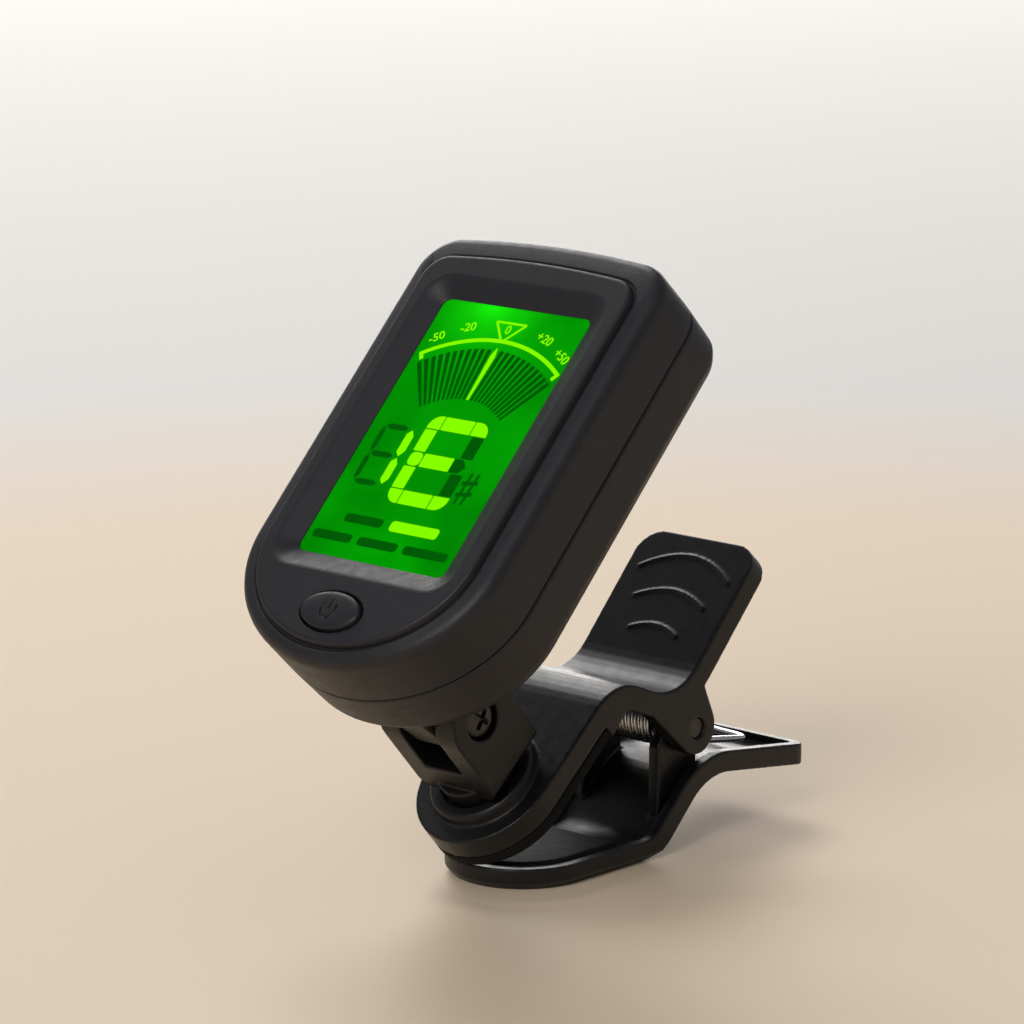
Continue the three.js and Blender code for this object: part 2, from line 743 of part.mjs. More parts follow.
function hingeNut() {
  const { p, q } = TILT_AXIS;
  const outer = -YOKE_HALF_WIDTH + GAP;
  const bore = rodX(HINGE_SCREW.shank + GAP, outer - OVERCUT, 0, p, q, BORE_ROUND);
  return cut(rodX(HINGE_NUT.r, outer, outer + HINGE_NUT.height, p, q, HEXAGON), bore);
}

function swivelScrew() {
  const { shank, head: headR, headHeight, tip, recess } = SWIVEL_SCREW;
  const under = WASHER.bottom - GAP;
  const top = under - headHeight;
  return cut(
    join(rod(shank, under - GAP, tip, BORE_ROUND), rod(headR, top, under, SMALL_ROUND)),
    ...crossRecess(recess.reach, recess.half, top - OVERCUT, top + recess.depth),
  );
}

function swivelWasher() {
  const { r, bottom, thickness } = WASHER;
  const bore = rod(SWIVEL_SCREW.shank + YOKE_BORE_GAP, bottom - OVERCUT, OVERCUT, BORE_ROUND);
  return cut(rod(r, bottom, bottom + thickness), bore);
}

function buildYoke() {
  piece(seat, 'swivel_yoke', swivelYoke(), BLACK_PLASTIC);
  piece(seat, 'hinge_screw', hingeScrew(), BLACK_STEEL);
  piece(seat, 'hinge_nut', hingeNut(), STEEL);
  piece(seat, 'swivel_washer', swivelWasher(), STEEL);
  piece(seat, 'swivel_screw', swivelScrew(), STEEL);
}

// ---------------------------------------------------------------- clip

// The nose's outline on the seat: a half-round end and straight sides.
function noseOutline(inset, length) {
  const r = JAW_HALF_WIDTH - inset;
  return [...arc(0, 0, r, r, Math.PI, 2 * Math.PI, 28), point(r, length), point(-r, length)];
}

// A tall prism on the lever's plane: straight sides and a rounded top end.
function leverPrism(inset, r) {
  const end = UPPER_PATH[UPPER_PATH.length - 1];
  const half = JAW_HALF_WIDTH - inset;
  const outline = [point(-half, -FAR), point(half, -FAR)];
  outline.push(...arc(half - r, -inset - r, r, r, 0, Math.PI / 2, 6));
  outline.push(...arc(-half + r, -inset - r, r, r, Math.PI / 2, Math.PI, 6));
  return slab(outline, -FAR, FAR).rotateX(radians(LEVER_SLOPE)).translate(0, end.y, end.z);
}

// Hinge ear: a round end about the pivot, running up into the plate above it.
function earOutline() {
  return [
    point(EAR.start.y, EAR.start.z),
    ...arc(PIVOT.y, PIVOT.z, EAR.r, EAR.r, ...EAR.round.map(radians), 16),
    ...EAR.top.map(([y, z]) => point(y, z)),
  ];
}

// Side wall behind the pad, down to the pad's own level.
function cheekOutline() {
  const depth = UPPER_DEPTH + PAD_THICKNESS + GAP;
  const front = PAD_END + LOOSE;
  const corners = [
    [front, CHEEK.front],
    [front, -depth],
    [CHEEK.end, -depth + CHEEK.rise],
    [CHEEK.end + CHEEK.taper, CHEEK.back],
  ];
  return corners.map(([p, q]) => {
    const place = seatPoint(p, q);
    return point(place.y, place.z);
  });
}

function collarRing() {
  const { outer, top, buried, bevel } = COLLAR;
  const inner = NECK_R + LOOSE;
  const profile = [
    point(inner, -buried),
    point(outer + bevel, -buried),
    point(outer, top - bevel),
    point(outer - bevel, top),
    point(inner, top),
    point(inner, -buried),
  ];
  return new THREE.LatheGeometry(profile, 48).rotateX(Math.PI / 2);
}

// The same side plate on both flanks, between two distances from the middle.
function flanks(outline, near, far) {
  return [prismX(outline, near, far), prismX(outline, -far, -near)];
}

function upperJaw() {
  const plate = prismX(band(UPPER_PATH, 0, -UPPER_DEPTH), -JAW_HALF_WIDTH, JAW_HALF_WIDTH);
  const nosePrism = onSeat(slab(noseOutline(0, FAR), -FAR, FAR));
  const rounded = common(plate, nosePrism, leverPrism(0, LEVER_CORNER_R));
  const inner = JAW_HALF_WIDTH - JAW_WALL;
  const underside = prismX(band(UPPER_PATH, -UPPER_SKIN, -UPPER_DEPTH - OVERCUT), -inner, inner);
  const behindPad = onSeat(block([-FAR, PAD_END + JAW_WALL, -FAR], [FAR, FAR, FAR]));
  const hollow = common(underside, behindPad, leverPrism(JAW_WALL, LEVER_CORNER_R - JAW_WALL));
  return cut(
    join(
      cut(rounded, hollow),
      ...flanks(earOutline(), EAR.inner, JAW_HALF_WIDTH),
      ...flanks(cheekOutline(), inner, JAW_HALF_WIDTH),
      onSeat(collarRing()),
    ),
    onSeat(rod(SPIGOT_R + SPIGOT_GAP, -FAR, OVERCUT)),
    onSeat(rod(WASHER.r + WASHER.clearance, -2 * UPPER_DEPTH, WASHER.bottom + WASHER.thickness + GAP)),
    pinBore(),
  );
}

function pinBore() {
  return rodX(PIN.hole, -JAW_HALF_WIDTH - OVERCUT, JAW_HALF_WIDTH + OVERCUT, PIVOT.y, PIVOT.z, BORE_ROUND);
}

function upperPad() {
  const top = -UPPER_DEPTH - GAP;
  const bottom = top - PAD_THICKNESS;
  const body = loft([
    { z: bottom, points: noseOutline(PAD_BEVEL, PAD_END) },
    { z: bottom + PAD_BEVEL, points: noseOutline(0, PAD_END) },
    { z: top, points: noseOutline(0, PAD_END) },
  ]);
  return cut(body, rod(SWIVEL_SCREW.head + LOOSE, top - SCREW_POCKET, top + OVERCUT, SMALL_ROUND));
}

function lowerOutline(inset) {
  const r = JAW_HALF_WIDTH - inset;
  const end = LOWER_PATH[LOWER_PATH.length - 1].y - inset;
  const corner = HANDLE_CORNER_R - inset;
  return [
    ...arc(0, LOWER_NOSE_Y, r, r, Math.PI, 2 * Math.PI, 28),
    ...arc(r - corner, end - corner, corner, corner, 0, Math.PI / 2, 5),
    ...arc(-r + corner, end - corner, corner, corner, Math.PI / 2, Math.PI, 5),
  ];
}

// Inner lug of the lower jaw: upright front edge, round top about the pivot.
function lowerLugOutline() {
  const { front, foot, heel, shoulder, r, round } = LOWER_LUG;
  return [
    point(front, foot),
    point(heel.y, heel.z),
    ...arc(PIVOT.y, PIVOT.z, r, r, ...round.map(radians), 16),
    point(front, shoulder),
  ];
}

function lowerJaw() {
  const plate = prismX(band(LOWER_PATH, 0, LOWER_DEPTH), -JAW_HALF_WIDTH, JAW_HALF_WIDTH);
  const rounded = common(plate, loft([
    { z: BASE_Z - GAP, points: lowerOutline(SOLE_BEVEL) },
    { z: BASE_Z + SOLE_BEVEL, points: lowerOutline(0) },
    { z: FAR, points: lowerOutline(0) },
  ]));
  const inner = JAW_HALF_WIDTH - JAW_WALL;
  const trough = prismX(band(LOWER_PATH, LOWER_SKIN, LOWER_DEPTH + OVERCUT), -inner, inner);
  const hollow = common(trough, slab(lowerOutline(JAW_WALL), -FAR, FAR));
  return cut(
    join(cut(rounded, hollow), ...flanks(lowerLugOutline(), LOWER_LUG.inner, LOWER_LUG.outer)),
    pinBore(),
  );
}

function lowerPad() {
  const floor = BASE_Z + LOWER_SKIN + GAP;
  const r = JAW_HALF_WIDTH - JAW_WALL - GAP;
  const outline = (inset) => [
    ...arc(0, LOWER_NOSE_Y, r - inset, r - inset, Math.PI, 2 * Math.PI, 24),
    point(r - inset, LOWER_PAD.end - inset),
    point(-r + inset, LOWER_PAD.end - inset),
  ];
  return loft([
    { z: floor, points: outline(0) },
    { z: floor + LOWER_PAD.thickness - PAD_BEVEL, points: outline(0) },
    { z: floor + LOWER_PAD.thickness, points: outline(PAD_BEVEL) },
  ]);
}

// A wire of round section along a chain of points, its bends eased by a smooth curve.
function wire(points, steps) {
  const curve = new THREE.CatmullRomCurve3(points, false, 'centripetal');
  const section = new THREE.Shape(oval(SPRING.wire, SPRING.wire, 0, 8));
  return new THREE.ExtrudeGeometry(section, { steps, bevelEnabled: false, extrudePath: curve });
}

function coilPoint(x, angle) {
  const y = PIVOT.y + SPRING.mean * Math.cos(angle);
  const z = PIVOT.z + SPRING.mean * Math.sin(angle);
  return new THREE.Vector3(x, y, z);
}

// The coil runs from its left end round to a leg that lies in the lower handle.
function torsionSpring() {
  const stepsPerTurn = 12;
  const last = radians(SPRING.lowerExit);
  const total = SPRING.turns * stepsPerTurn;
  const points = [];
  for (let i = 0; i <= total; i += 1) {
    const x = -SPRING.half + 2 * SPRING.half * i / total;
    points.push(coilPoint(x, last - (total - i) * 2 * Math.PI / stepsPerTurn));
  }
  points.push(...SPRING_LOWER_LEG.map(([x, y, z]) => new THREE.Vector3(x, y, z)));
  return wire(points, 160);
}

// The spring's other leg, which bears on the lever and turns with it about the same pin.
function springUpperLeg() {
  const slope = radians(LEVER_SLOPE);
  const x = -SPRING.half - SPRING.legOffset;
  const top = slope + Math.PI / 2;
  const points = SPRING.upperArc.map((turn) => coilPoint(x, top + radians(turn)));
  for (const reach of SPRING.upperReach) {
    const start = coilPoint(x, top);
    points.push(start.add(new THREE.Vector3(0, reach * Math.cos(slope), reach * Math.sin(slope))));
  }
  return wire(points, 24);
}

function buildClip() {
  piece(clip, 'upper_jaw', upperJaw(), BLACK_PLASTIC);
  piece(seat, 'upper_pad', upperPad(), RUBBER);
  piece(clip, 'lower_jaw', lowerJaw(), BLACK_PLASTIC);
  piece(clip, 'lower_pad', lowerPad(), RUBBER);
  piece(clip, 'pivot_pin', rodX(PIN.r, -PIN.half, PIN.half, PIVOT.y, PIVOT.z, BORE_ROUND), BLACK_STEEL);
  piece(clip, 'torsion_spring', torsionSpring(), STEEL);
  piece(clip, 'spring_upper_leg', springUpperLeg(), STEEL);
}

// ---------------------------------------------------------------- assembly

buildClip();
buildYoke();
buildHead();

// Stand the tuner on z = 0 with the middle of its footprint at the origin.
const bounds = new THREE.Box3().setFromObject(clip, true);
const middle = bounds.getCenter(new THREE.Vector3());
clip.position.set(-middle.x, -middle.y, -bounds.min.z);
tuner.updateMatrixWorld(true);

export default tuner;
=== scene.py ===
"""Clip-on tuner: detailed shells, display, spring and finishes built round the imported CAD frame."""

import json
import math

import bpy
import bmesh
from mathutils import Matrix, Vector


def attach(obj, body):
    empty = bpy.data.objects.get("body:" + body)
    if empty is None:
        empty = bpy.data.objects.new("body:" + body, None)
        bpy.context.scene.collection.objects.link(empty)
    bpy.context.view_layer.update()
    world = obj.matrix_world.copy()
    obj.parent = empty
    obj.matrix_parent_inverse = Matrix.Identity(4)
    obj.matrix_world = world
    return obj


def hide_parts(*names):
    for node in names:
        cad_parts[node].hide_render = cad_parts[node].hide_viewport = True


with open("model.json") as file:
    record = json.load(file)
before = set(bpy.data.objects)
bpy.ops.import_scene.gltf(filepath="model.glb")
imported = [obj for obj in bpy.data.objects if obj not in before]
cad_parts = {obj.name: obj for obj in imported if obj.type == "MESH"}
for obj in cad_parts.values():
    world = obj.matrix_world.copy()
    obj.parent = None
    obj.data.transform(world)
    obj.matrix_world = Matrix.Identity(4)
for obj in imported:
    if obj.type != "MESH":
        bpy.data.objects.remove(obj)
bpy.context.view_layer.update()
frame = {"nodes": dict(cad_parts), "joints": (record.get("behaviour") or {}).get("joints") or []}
nodes = frame["nodes"]
joints = {joint["name"]: joint for joint in frame["joints"]}

MM = 0.001

# Driving sizes in millimetres, the same as in the CAD source. In the head, x runs across,
# u up the face and n out of it. Profiles are pairs of a level and an inset.
HEAD_TOP = 35.9
HEAD_HALF_WIDTH = 15.5
HEAD_BOTTOM = 12.5
HEAD_CORNER_R = 4.3
HEAD_LEAST_CORNER_R = 0.8
CROWN_R = 114
PARTING = -6.85
HEAD_BACK = -13.2
HEAD_WALL = 1.4
FACE_THICKNESS = 1.1
PANEL = {"half": 13.4, "top": 33.2, "bottom": 11.0, "corner": 3.0}
SCREEN = {"half_x": 9.4, "half_u": 14.75, "corner": 0.9, "u": 13.4}
BUTTON = {"half_x": 3.6, "half_u": 2.0, "clearance": 0.25, "u": -7.4}
LEVER_SLOPE = math.radians(47.2)
LEVER_FOOT_Y = 22.24
LEVER_FOOT_Z = 8.125

# ------------------------------------------------------------------ frames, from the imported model

X_AXIS = Vector((1, 0, 0))
U_AXIS = Vector(joints["battery_door_slide"]["axis"]).normalized()
N_AXIS = -Vector(joints["power_press"]["axis"]).normalized()
Q_AXIS = Vector(joints["swivel"]["axis"]).normalized()
P_AXIS = Q_AXIS.cross(X_AXIS)
SEAT_POINT = Vector(joints["swivel"]["pos_m"])
TILT_POINT = Vector(joints["head_tilt"]["pos_m"])
PIVOT_POINT = Vector(joints["clip_open"]["pos_m"])


def reach(node, axis):
    """Furthest distance of a node's points along an axis."""
    return max(vertex.co.dot(axis) for vertex in nodes[node].data.vertices)


def local_frame(x, y, z, origin):
    """Matrix from a local frame in millimetres to the row frame in metres."""
    turn = Matrix((x, y, z)).transposed().to_4x4()
    return Matrix.Translation(origin) @ turn @ Matrix.Scale(MM, 4)


head_origin = U_AXIS * (reach("front_cover", U_AXIS) - HEAD_TOP * MM)
head_origin += N_AXIS * reach("front_cover", N_AXIS)
HEAD = local_frame(X_AXIS, U_AXIS, N_AXIS, head_origin)
SEAT = local_frame(X_AXIS, P_AXIS, Q_AXIS, SEAT_POINT)
HINGE = local_frame(-Q_AXIS, P_AXIS, X_AXIS, TILT_POINT)
CLIP = local_frame(X_AXIS, Vector((0, 1, 0)), Vector((0, 0, 1)), SEAT_POINT)

LEVER_U = Vector((0, math.cos(LEVER_SLOPE), math.sin(LEVER_SLOPE)))
LEVER_N = Vector((0, -math.sin(LEVER_SLOPE), math.cos(LEVER_SLOPE)))
LEVER_FOOT = SEAT_POINT + Vector((0, LEVER_FOOT_Y, LEVER_FOOT_Z)) * MM
LEVER = local_frame(X_AXIS, LEVER_U, LEVER_N, LEVER_FOOT)

# ------------------------------------------------------------------ materials

NOISE_LOW = 0.3                    # a noise texture's values lie mostly between these two
NOISE_HIGH = 0.7
CLOUD_SCALE = 170.0                # uneven colour, a few millimetres across
SHEEN_SCALE = 900.0
SCRATCH_SCALE = 2600.0
SEGMENT_SCALE = 320.0              # of the lit and shaded segments
FIELD_SCALE = 95.0                 # of the green field behind them
HAZE_SCALE = 700.0                 # of the window
SCRATCH_DEPTH = 0.000004


class Nodes:
    """Short way to build a material's node tree."""

    def __init__(self, name):
        self.material = bpy.data.materials.new(name)
        self.material.use_nodes = True
        self.tree = self.material.node_tree
        self.shader = self.tree.nodes["Principled BSDF"]
        self.place = self.tree.nodes.new("ShaderNodeTexCoord").outputs["Object"]

    def add(self, kind, **values):
        node = self.tree.nodes.new(kind)
        for key, value in values.items():
            if key in node.inputs:
                node.inputs[key].default_value = value
            else:
                setattr(node, key, value)
        return node

    def link(self, output, node, socket):
        self.tree.links.new(output, node.inputs[socket])

    def noise(self, scale, detail=2.0, squeeze=None):
        """Noise of this scale per metre, finer along an axis whose squeeze is above one."""
        place = self.place
        if squeeze:
            mapping = self.add("ShaderNodeMapping")
            mapping.inputs["Scale"].default_value = squeeze
            self.link(place, mapping, "Vector")
            place = mapping.outputs["Vector"]
        noise = self.add("ShaderNodeTexNoise", Scale=scale, Detail=detail)
        self.link(place, noise, "Vector")
        return noise.outputs["Fac"]

    def ramp(self, value, stops):
        ramp = self.add("ShaderNodeValToRGB")
        elements = ramp.color_ramp.elements
        while len(elements) < len(stops):
            elements.new(0.5)
        for element, (position, colour) in zip(elements, stops):
            element.position = position
            element.color = (*colour, 1.0)
        self.link(value, ramp, "Fac")
        return ramp.outputs["Color"]

    def span(self, value, low, high):
        ranger = self.add("ShaderNodeMapRange")
        ranger.inputs["From Min"].default_value = NOISE_LOW
        ranger.inputs["From Max"].default_value = NOISE_HIGH
        ranger.inputs["To Min"].default_value = low
        ranger.inputs["To Max"].default_value = high
        self.link(value, ranger, "Value")
        return ranger.outputs["Result"]

    def mottle(self, value, dark, light):
        """Colour that wanders from dark to light with a noise value."""
        return self.ramp(value, [(NOISE_LOW, dark), (NOISE_HIGH, light)])

    def bump(self, value, distance):
        bump = self.add("ShaderNodeBump", Strength=1.0, Distance=distance)
        self.link(value, bump, "Height")
        self.link(bump.outputs["Normal"], self.shader, "Normal")


def scaled(colour, factor):
    return tuple(min(1.0, channel * factor) for channel in colour)


def plastic(name, colour, rough, grain, depth, spread=0.12, gloss=0.5):
    """Moulded plastic: fine spark-eroded grain, slightly uneven colour and sheen."""
    made = Nodes(name)
    cloud = made.noise(CLOUD_SCALE, 3.0)
    tint = made.mottle(cloud, scaled(colour, 1 - spread), scaled(colour, 1 + spread))
    made.link(tint, made.shader, "Base Color")
    sheen = made.span(made.noise(SHEEN_SCALE, 4.0), rough - 0.05, rough + 0.05)
    made.link(sheen, made.shader, "Roughness")
    made.shader.inputs["Specular IOR Level"].default_value = gloss
    made.bump(made.noise(grain, 3.0), depth)
    return made.material


def metal(name, colour, rough, scratch):
    """Bare or plated metal with fine drawn marks."""
    made = Nodes(name)
    made.shader.inputs["Metallic"].default_value = 1.0
    marks = made.noise(SCRATCH_SCALE, 4.0, scratch)
    made.link(made.mottle(marks, scaled(colour, 0.86), colour), made.shader, "Base Color")
    made.link(made.span(marks, rough - 0.08, rough + 0.1), made.shader, "Roughness")
    made.bump(marks, SCRATCH_DEPTH)
    return made.material


def shining(made, base, glow, strength):
    """Turn a material into a dull surface that gives off its own light."""
    made.shader.inputs["Base Color"].default_value = (*base, 1.0)
    made.link(glow, made.shader, "Emission Color")
    made.shader.inputs["Emission Strength"].default_value = strength
    made.shader.inputs["Specular IOR Level"].default_value = 0.0
    made.shader.inputs["Roughness"].default_value = 0.6
    return made.material


def glowing(name, colour, dim, strength):
    """A lit or shaded segment of the display."""
    made = Nodes(name)
    tint = made.mottle(made.noise(SEGMENT_SCALE, 1.0), scaled(colour, dim), colour)
    return shining(made, scaled(colour, 0.05), tint, strength)


LAMP_PLACE = (-3.6, 28.6, -1.6)    # in the head's millimetres
LAMP_POOL = (0.0115, 0.0085, 0.02)  # half sizes of the lit pool, in metres
LAMP_GREEN = (0.01, 0.95, 0.004)
FIELD_DARK = (0.0003, 0.205, 0.0006)
FIELD_LIGHT = (0.001, 0.375, 0.001)


def backlit(name):
    """Green backlight: a bright spot below the lamp at the top, falling off to the far end."""
    made = Nodes(name)
    mapping = made.add("ShaderNodeMapping", vector_type="TEXTURE")
    mapping.inputs["Location"].default_value = HEAD @ Vector(LAMP_PLACE)
    mapping.inputs["Rotation"].default_value = HEAD.to_euler()
    mapping.inputs["Scale"].default_value = LAMP_POOL
    made.link(made.place, mapping, "Vector")
    pool = made.add("ShaderNodeTexGradient", gradient_type="SPHERICAL")
    made.link(mapping.outputs["Vector"], pool, "Vector")
    falloff = ((0.0, 0.0), (0.35, 0.05), (0.72, 0.42), (1.0, 1.0))
    near = made.ramp(pool.outputs["Fac"], [(place, (level,) * 3) for place, level in falloff])
    cloud = made.mottle(made.noise(FIELD_SCALE, 2.0), FIELD_DARK, FIELD_LIGHT)
    mixed = made.add("ShaderNodeMix", data_type="RGBA")
    made.link(near, mixed, "Factor")
    made.tree.links.new(cloud, mixed.inputs["A"])
    mixed.inputs["B"].default_value = (*LAMP_GREEN, 1.0)
    colour = [socket for socket in mixed.outputs if socket.type == "RGBA"][0]
    return shining(made, (0.0, 0.02, 0.0), colour, 1.0)


def clear(name):
    """Clear hard-coated window with a trace of haze."""
    made = Nodes(name)
    made.shader.inputs["Base Color"].default_value = (0.96, 1.0, 0.97, 1.0)
    made.shader.inputs["Transmission Weight"].default_value = 1.0
    made.shader.inputs["IOR"].default_value = 1.03
    made.link(made.span(made.noise(HAZE_SCALE), 0.02, 0.05), made.shader, "Roughness")
    return made.material


# Plastics: base colour, roughness, grain scale per metre, grain depth in metres.
SHELL = plastic("shell_black", (0.0165, 0.0158, 0.0185), 0.44, 6200.0, 0.000022, gloss=0.36)
CLIP_BLACK = plastic("clip_black", (0.0065, 0.0062, 0.007), 0.36, 5200.0, 0.000012, gloss=0.34)
BUTTON_BLACK = plastic("button_black", (0.0145, 0.0142, 0.017), 0.42, 5200.0, 0.000008, gloss=0.36)
RUBBER = plastic("pad_rubber", (0.007, 0.007, 0.007), 0.75, 3600.0, 0.00003, gloss=0.12)
CHIP_BLACK = plastic("chip_black", (0.012, 0.012, 0.012), 0.5, 4200.0, 0.00001)
WHITE = plastic("guide_white", (0.78, 0.79, 0.74), 0.35, 2400.0, 0.000006, spread=0.03)
BOARD_GREEN = plastic("board_green", (0.02, 0.11, 0.04), 0.3, 1500.0, 0.00002)
ZEBRA_PINK = plastic("zebra_pink", (0.62, 0.27, 0.31), 0.7, 2500.0, 0.00002)
# Metals: base colour, roughness, how finely the marks are squeezed along each axis.
STEEL = metal("steel_bright", (0.66, 0.66, 0.67), 0.24, (1, 1, 9))
BLACK_STEEL = metal("steel_black", (0.075, 0.073, 0.075), 0.32, (6, 1, 1))
BRASS = metal("brass_sheet", (0.78, 0.57, 0.22), 0.28, (1, 8, 1))
LCD_GREEN = backlit("lcd_green")
LIT = glowing("segment_lit", (0.245, 1.0, 0.0), 0.93, 1.0)
SHADED = glowing("segment_shaded", (0.0005, 0.125, 0.002), 0.85, 0.85)
WINDOW = clear("window_clear")

# ------------------------------------------------------------------ mesh helpers

CORNER_STEPS = 14
CROWN_STEPS = 20
BOTTOM_STEPS = 84


def circle_points(cx, cy, a, b, start, end, steps):
    points = []
    for i in range(steps + 1):
        angle = start + (end - start) * i / steps
        points.append((cx + a * math.cos(angle), cy + b * math.sin(angle)))
    return points


def oval(a, b, cy=0.0, sides=72):
    return circle_points(0, cy, a, b, 0, 2 * math.pi, sides)[:-1]


def rounded_box(half_x, half_y, r, cx=0.0, cy=0.0, steps=8):
    points = []
    for turn, (sx, sy) in enumerate(((1, 1), (-1, 1), (-1, -1), (1, -1))):
        start = turn * math.pi / 2
        x = cx + sx * (half_x - r)
        y = cy + sy * (half_y - r)
        points += circle_points(x, y, r, r, start, start + math.pi / 2, steps)
    return points


def shield(half, top, bottom, corner, crown):
    """Straight sides, crowned top, half-ellipse below."""
    crown_u = top - crown
    corner_x = half - corner
    corner_u = crown_u + math.sqrt((crown - corner) ** 2 - corner_x ** 2)
    lean = math.atan2(corner_x, corner_u - crown_u)
    upright = math.pi / 2
    start = upright - lean
    end = upright + lean
    return (
        circle_points(corner_x, corner_u, corner, corner, 0, start, CORNER_STEPS)
        + circle_points(0, crown_u, crown, crown, start, end, CROWN_STEPS)[1:-1]
        + circle_points(-corner_x, corner_u, corner, corner, end, math.pi, CORNER_STEPS)
        + circle_points(0, 0, half, bottom, math.pi, 2 * math.pi, BOTTOM_STEPS)
    )


def head_outline(inset):
    corner = max(HEAD_CORNER_R - inset, HEAD_LEAST_CORNER_R)
    return shield(
        HEAD_HALF_WIDTH - inset, HEAD_TOP - inset, HEAD_BOTTOM - inset, corner, CROWN_R - inset
    )


def panel_outline(inset):
    return shield(
        PANEL["half"] - inset, PANEL["top"] - inset, PANEL["bottom"] - inset,
        PANEL["corner"] - inset, CROWN_R - inset,
    )


def new_object(name, mesh):
    made = bpy.data.objects.new(name, mesh)
    bpy.context.scene.collection.objects.link(made)
    return made


def mesh_from(name, vertices, faces):
    mesh = bpy.data.meshes.new(name)
    mesh.from_pydata(vertices, [], faces)
    mesh.validate()
    return mesh


def loft(name, rings):
    """Closed skin through rings of one point count, each a level and an outline."""
    count = len(rings[0][1])
    vertices = [(x, y, z) for z, points in rings for x, y in points]
    faces = []
    for level in range(len(rings) - 1):
        base = level * count
        for i in range(count):
            j = (i + 1) % count
            faces.append((base + i, base + j, base + count + j, base + count + i))
    top = (len(rings) - 1) * count
    faces.append(tuple(range(count - 1, -1, -1)))
    faces.append(tuple(range(top, top + count)))
    return new_object(name, mesh_from(name, vertices, faces))


def turned(name, profile, sides=56):
    """Solid of revolution about local z through points of radius and height."""
    return loft(name, [(z, oval(r, r, 0, sides)) for r, z in profile])


def tube(name, points, radius, sides=12):
    """Round wire along a chain of points."""
    curve = bpy.data.curves.new(name, "CURVE")
    curve.dimensions = "3D"
    curve.bevel_depth = radius
    curve.bevel_resolution = max(1, sides // 4 - 1)
    curve.use_fill_caps = True
    spline = curve.splines.new("POLY")
    spline.points.add(len(points) - 1)
    for slot, place in zip(spline.points, points):
        slot.co = (*place, 1.0)
    return settled(new_object(name, curve))


def settled(made):
    """The object with its modifiers and curve turned into a plain mesh."""
    bpy.context.view_layer.update()
    graph = bpy.context.evaluated_depsgraph_get()
    mesh = bpy.data.meshes.new_from_object(made.evaluated_get(graph))
    name = made.name
    bpy.data.objects.remove(made)
    result = new_object(name, mesh)
    result.name = name
    return result


def cut(made, cutters):
    for cutter in cutters:
        modifier = made.modifiers.new("cut", "BOOLEAN")
        modifier.operation = "DIFFERENCE"
        modifier.solver = "EXACT"
        modifier.object = cutter
    result = settled(made)
    for cutter in cutters:
        bpy.data.objects.remove(cutter)
    return result


def moved(made, matrix):
    made.data.transform(matrix)
    return made


def polish(made, angle=32.0):
    """Smooth shading that keeps real edges crisp and flat faces flat."""
    mesh = made.data
    mesh.polygons.foreach_set("use_smooth", [True] * len(mesh.polygons))
    mesh.set_sharp_from_angle(angle=math.radians(angle))
    modifier = made.modifiers.new("even_normals", "WEIGHTED_NORMAL")
    modifier.keep_sharp = True
    modifier.weight = 60


def dress(made, material, body, replaces=()):
    """Finish a piece: one material, its body and the CAD nodes it stands for."""
    made.data.materials.clear()
    made.data.materials.append(material)
    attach(made, body)
    if replaces:
        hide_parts(*replaces)
    return made


def moulded(node, frame_matrix, voxel, passes, keep, extras=()):
    """A CAD node skinned again at a fine pitch, so that its edges are softly rounded."""
    mesh = nodes[node].data.copy()
    mesh.transform(frame_matrix.inverted())
    made = new_object(node + "_skin", mesh)
    for extra in extras:
        bm = bmesh.new()
        bm.from_mesh(made.data)
        bm.from_mesh(extra.data)
        bm.to_mesh(made.data)
        bm.free()
        bpy.data.objects.remove(extra)
    skin = made.modifiers.new("skin", "REMESH")
    skin.mode = "VOXEL"
    skin.voxel_size = voxel
    skin.adaptivity = 0.0
    ease = made.modifiers.new("ease", "SMOOTH")
    ease.factor = 0.5
    ease.iterations = passes
    thin = made.modifiers.new("thin", "DECIMATE")
    thin.ratio = keep
    return settled(made)


# ------------------------------------------------------------------ head

RIM_PROFILE = (                    # level and inset, from the parting line up and inwards
    (PARTING, 0.14), (-6.72, 0.0), (-2.1, 0.0), (-1.75, 0.02), (-1.4, 0.12),
    (-1.15, 0.28), (-0.95, 0.5), (-0.8, 0.8), (-0.72, 1.1),
)
PANEL_PROFILE = (                  # level and inset: the groove's floor, then the panel's edge
    (-0.55, -0.25), (-0.6, -0.12), (-0.75, 0.0), (-0.75, 0.14),
    (-0.22, 0.26), (-0.1, 0.32), (-0.02, 0.45), (0.0, 0.7),
)
RECESS_PROFILE = (                 # level and growth round the screen
    (-3.0, 0.0), (-1.04, 0.0), (-0.98, 0.05), (-0.9, 0.2), (-0.22, 1.64),
    (-0.1, 1.92), (-0.03, 2.14), (0.0, 2.4), (0.3, 3.6),
)
RECESS_CORNER_GROWTH = 0.9         # added to the corner radius for each unit of growth
HOLE_PROFILE = ((-3.0, 0.0), (-0.16, 0.0), (-0.05, 0.04), (0.0, 0.16), (0.3, 0.6))
HOLLOW_BELOW = -8.0                # past the parting line, so that the hollow opens to the rear


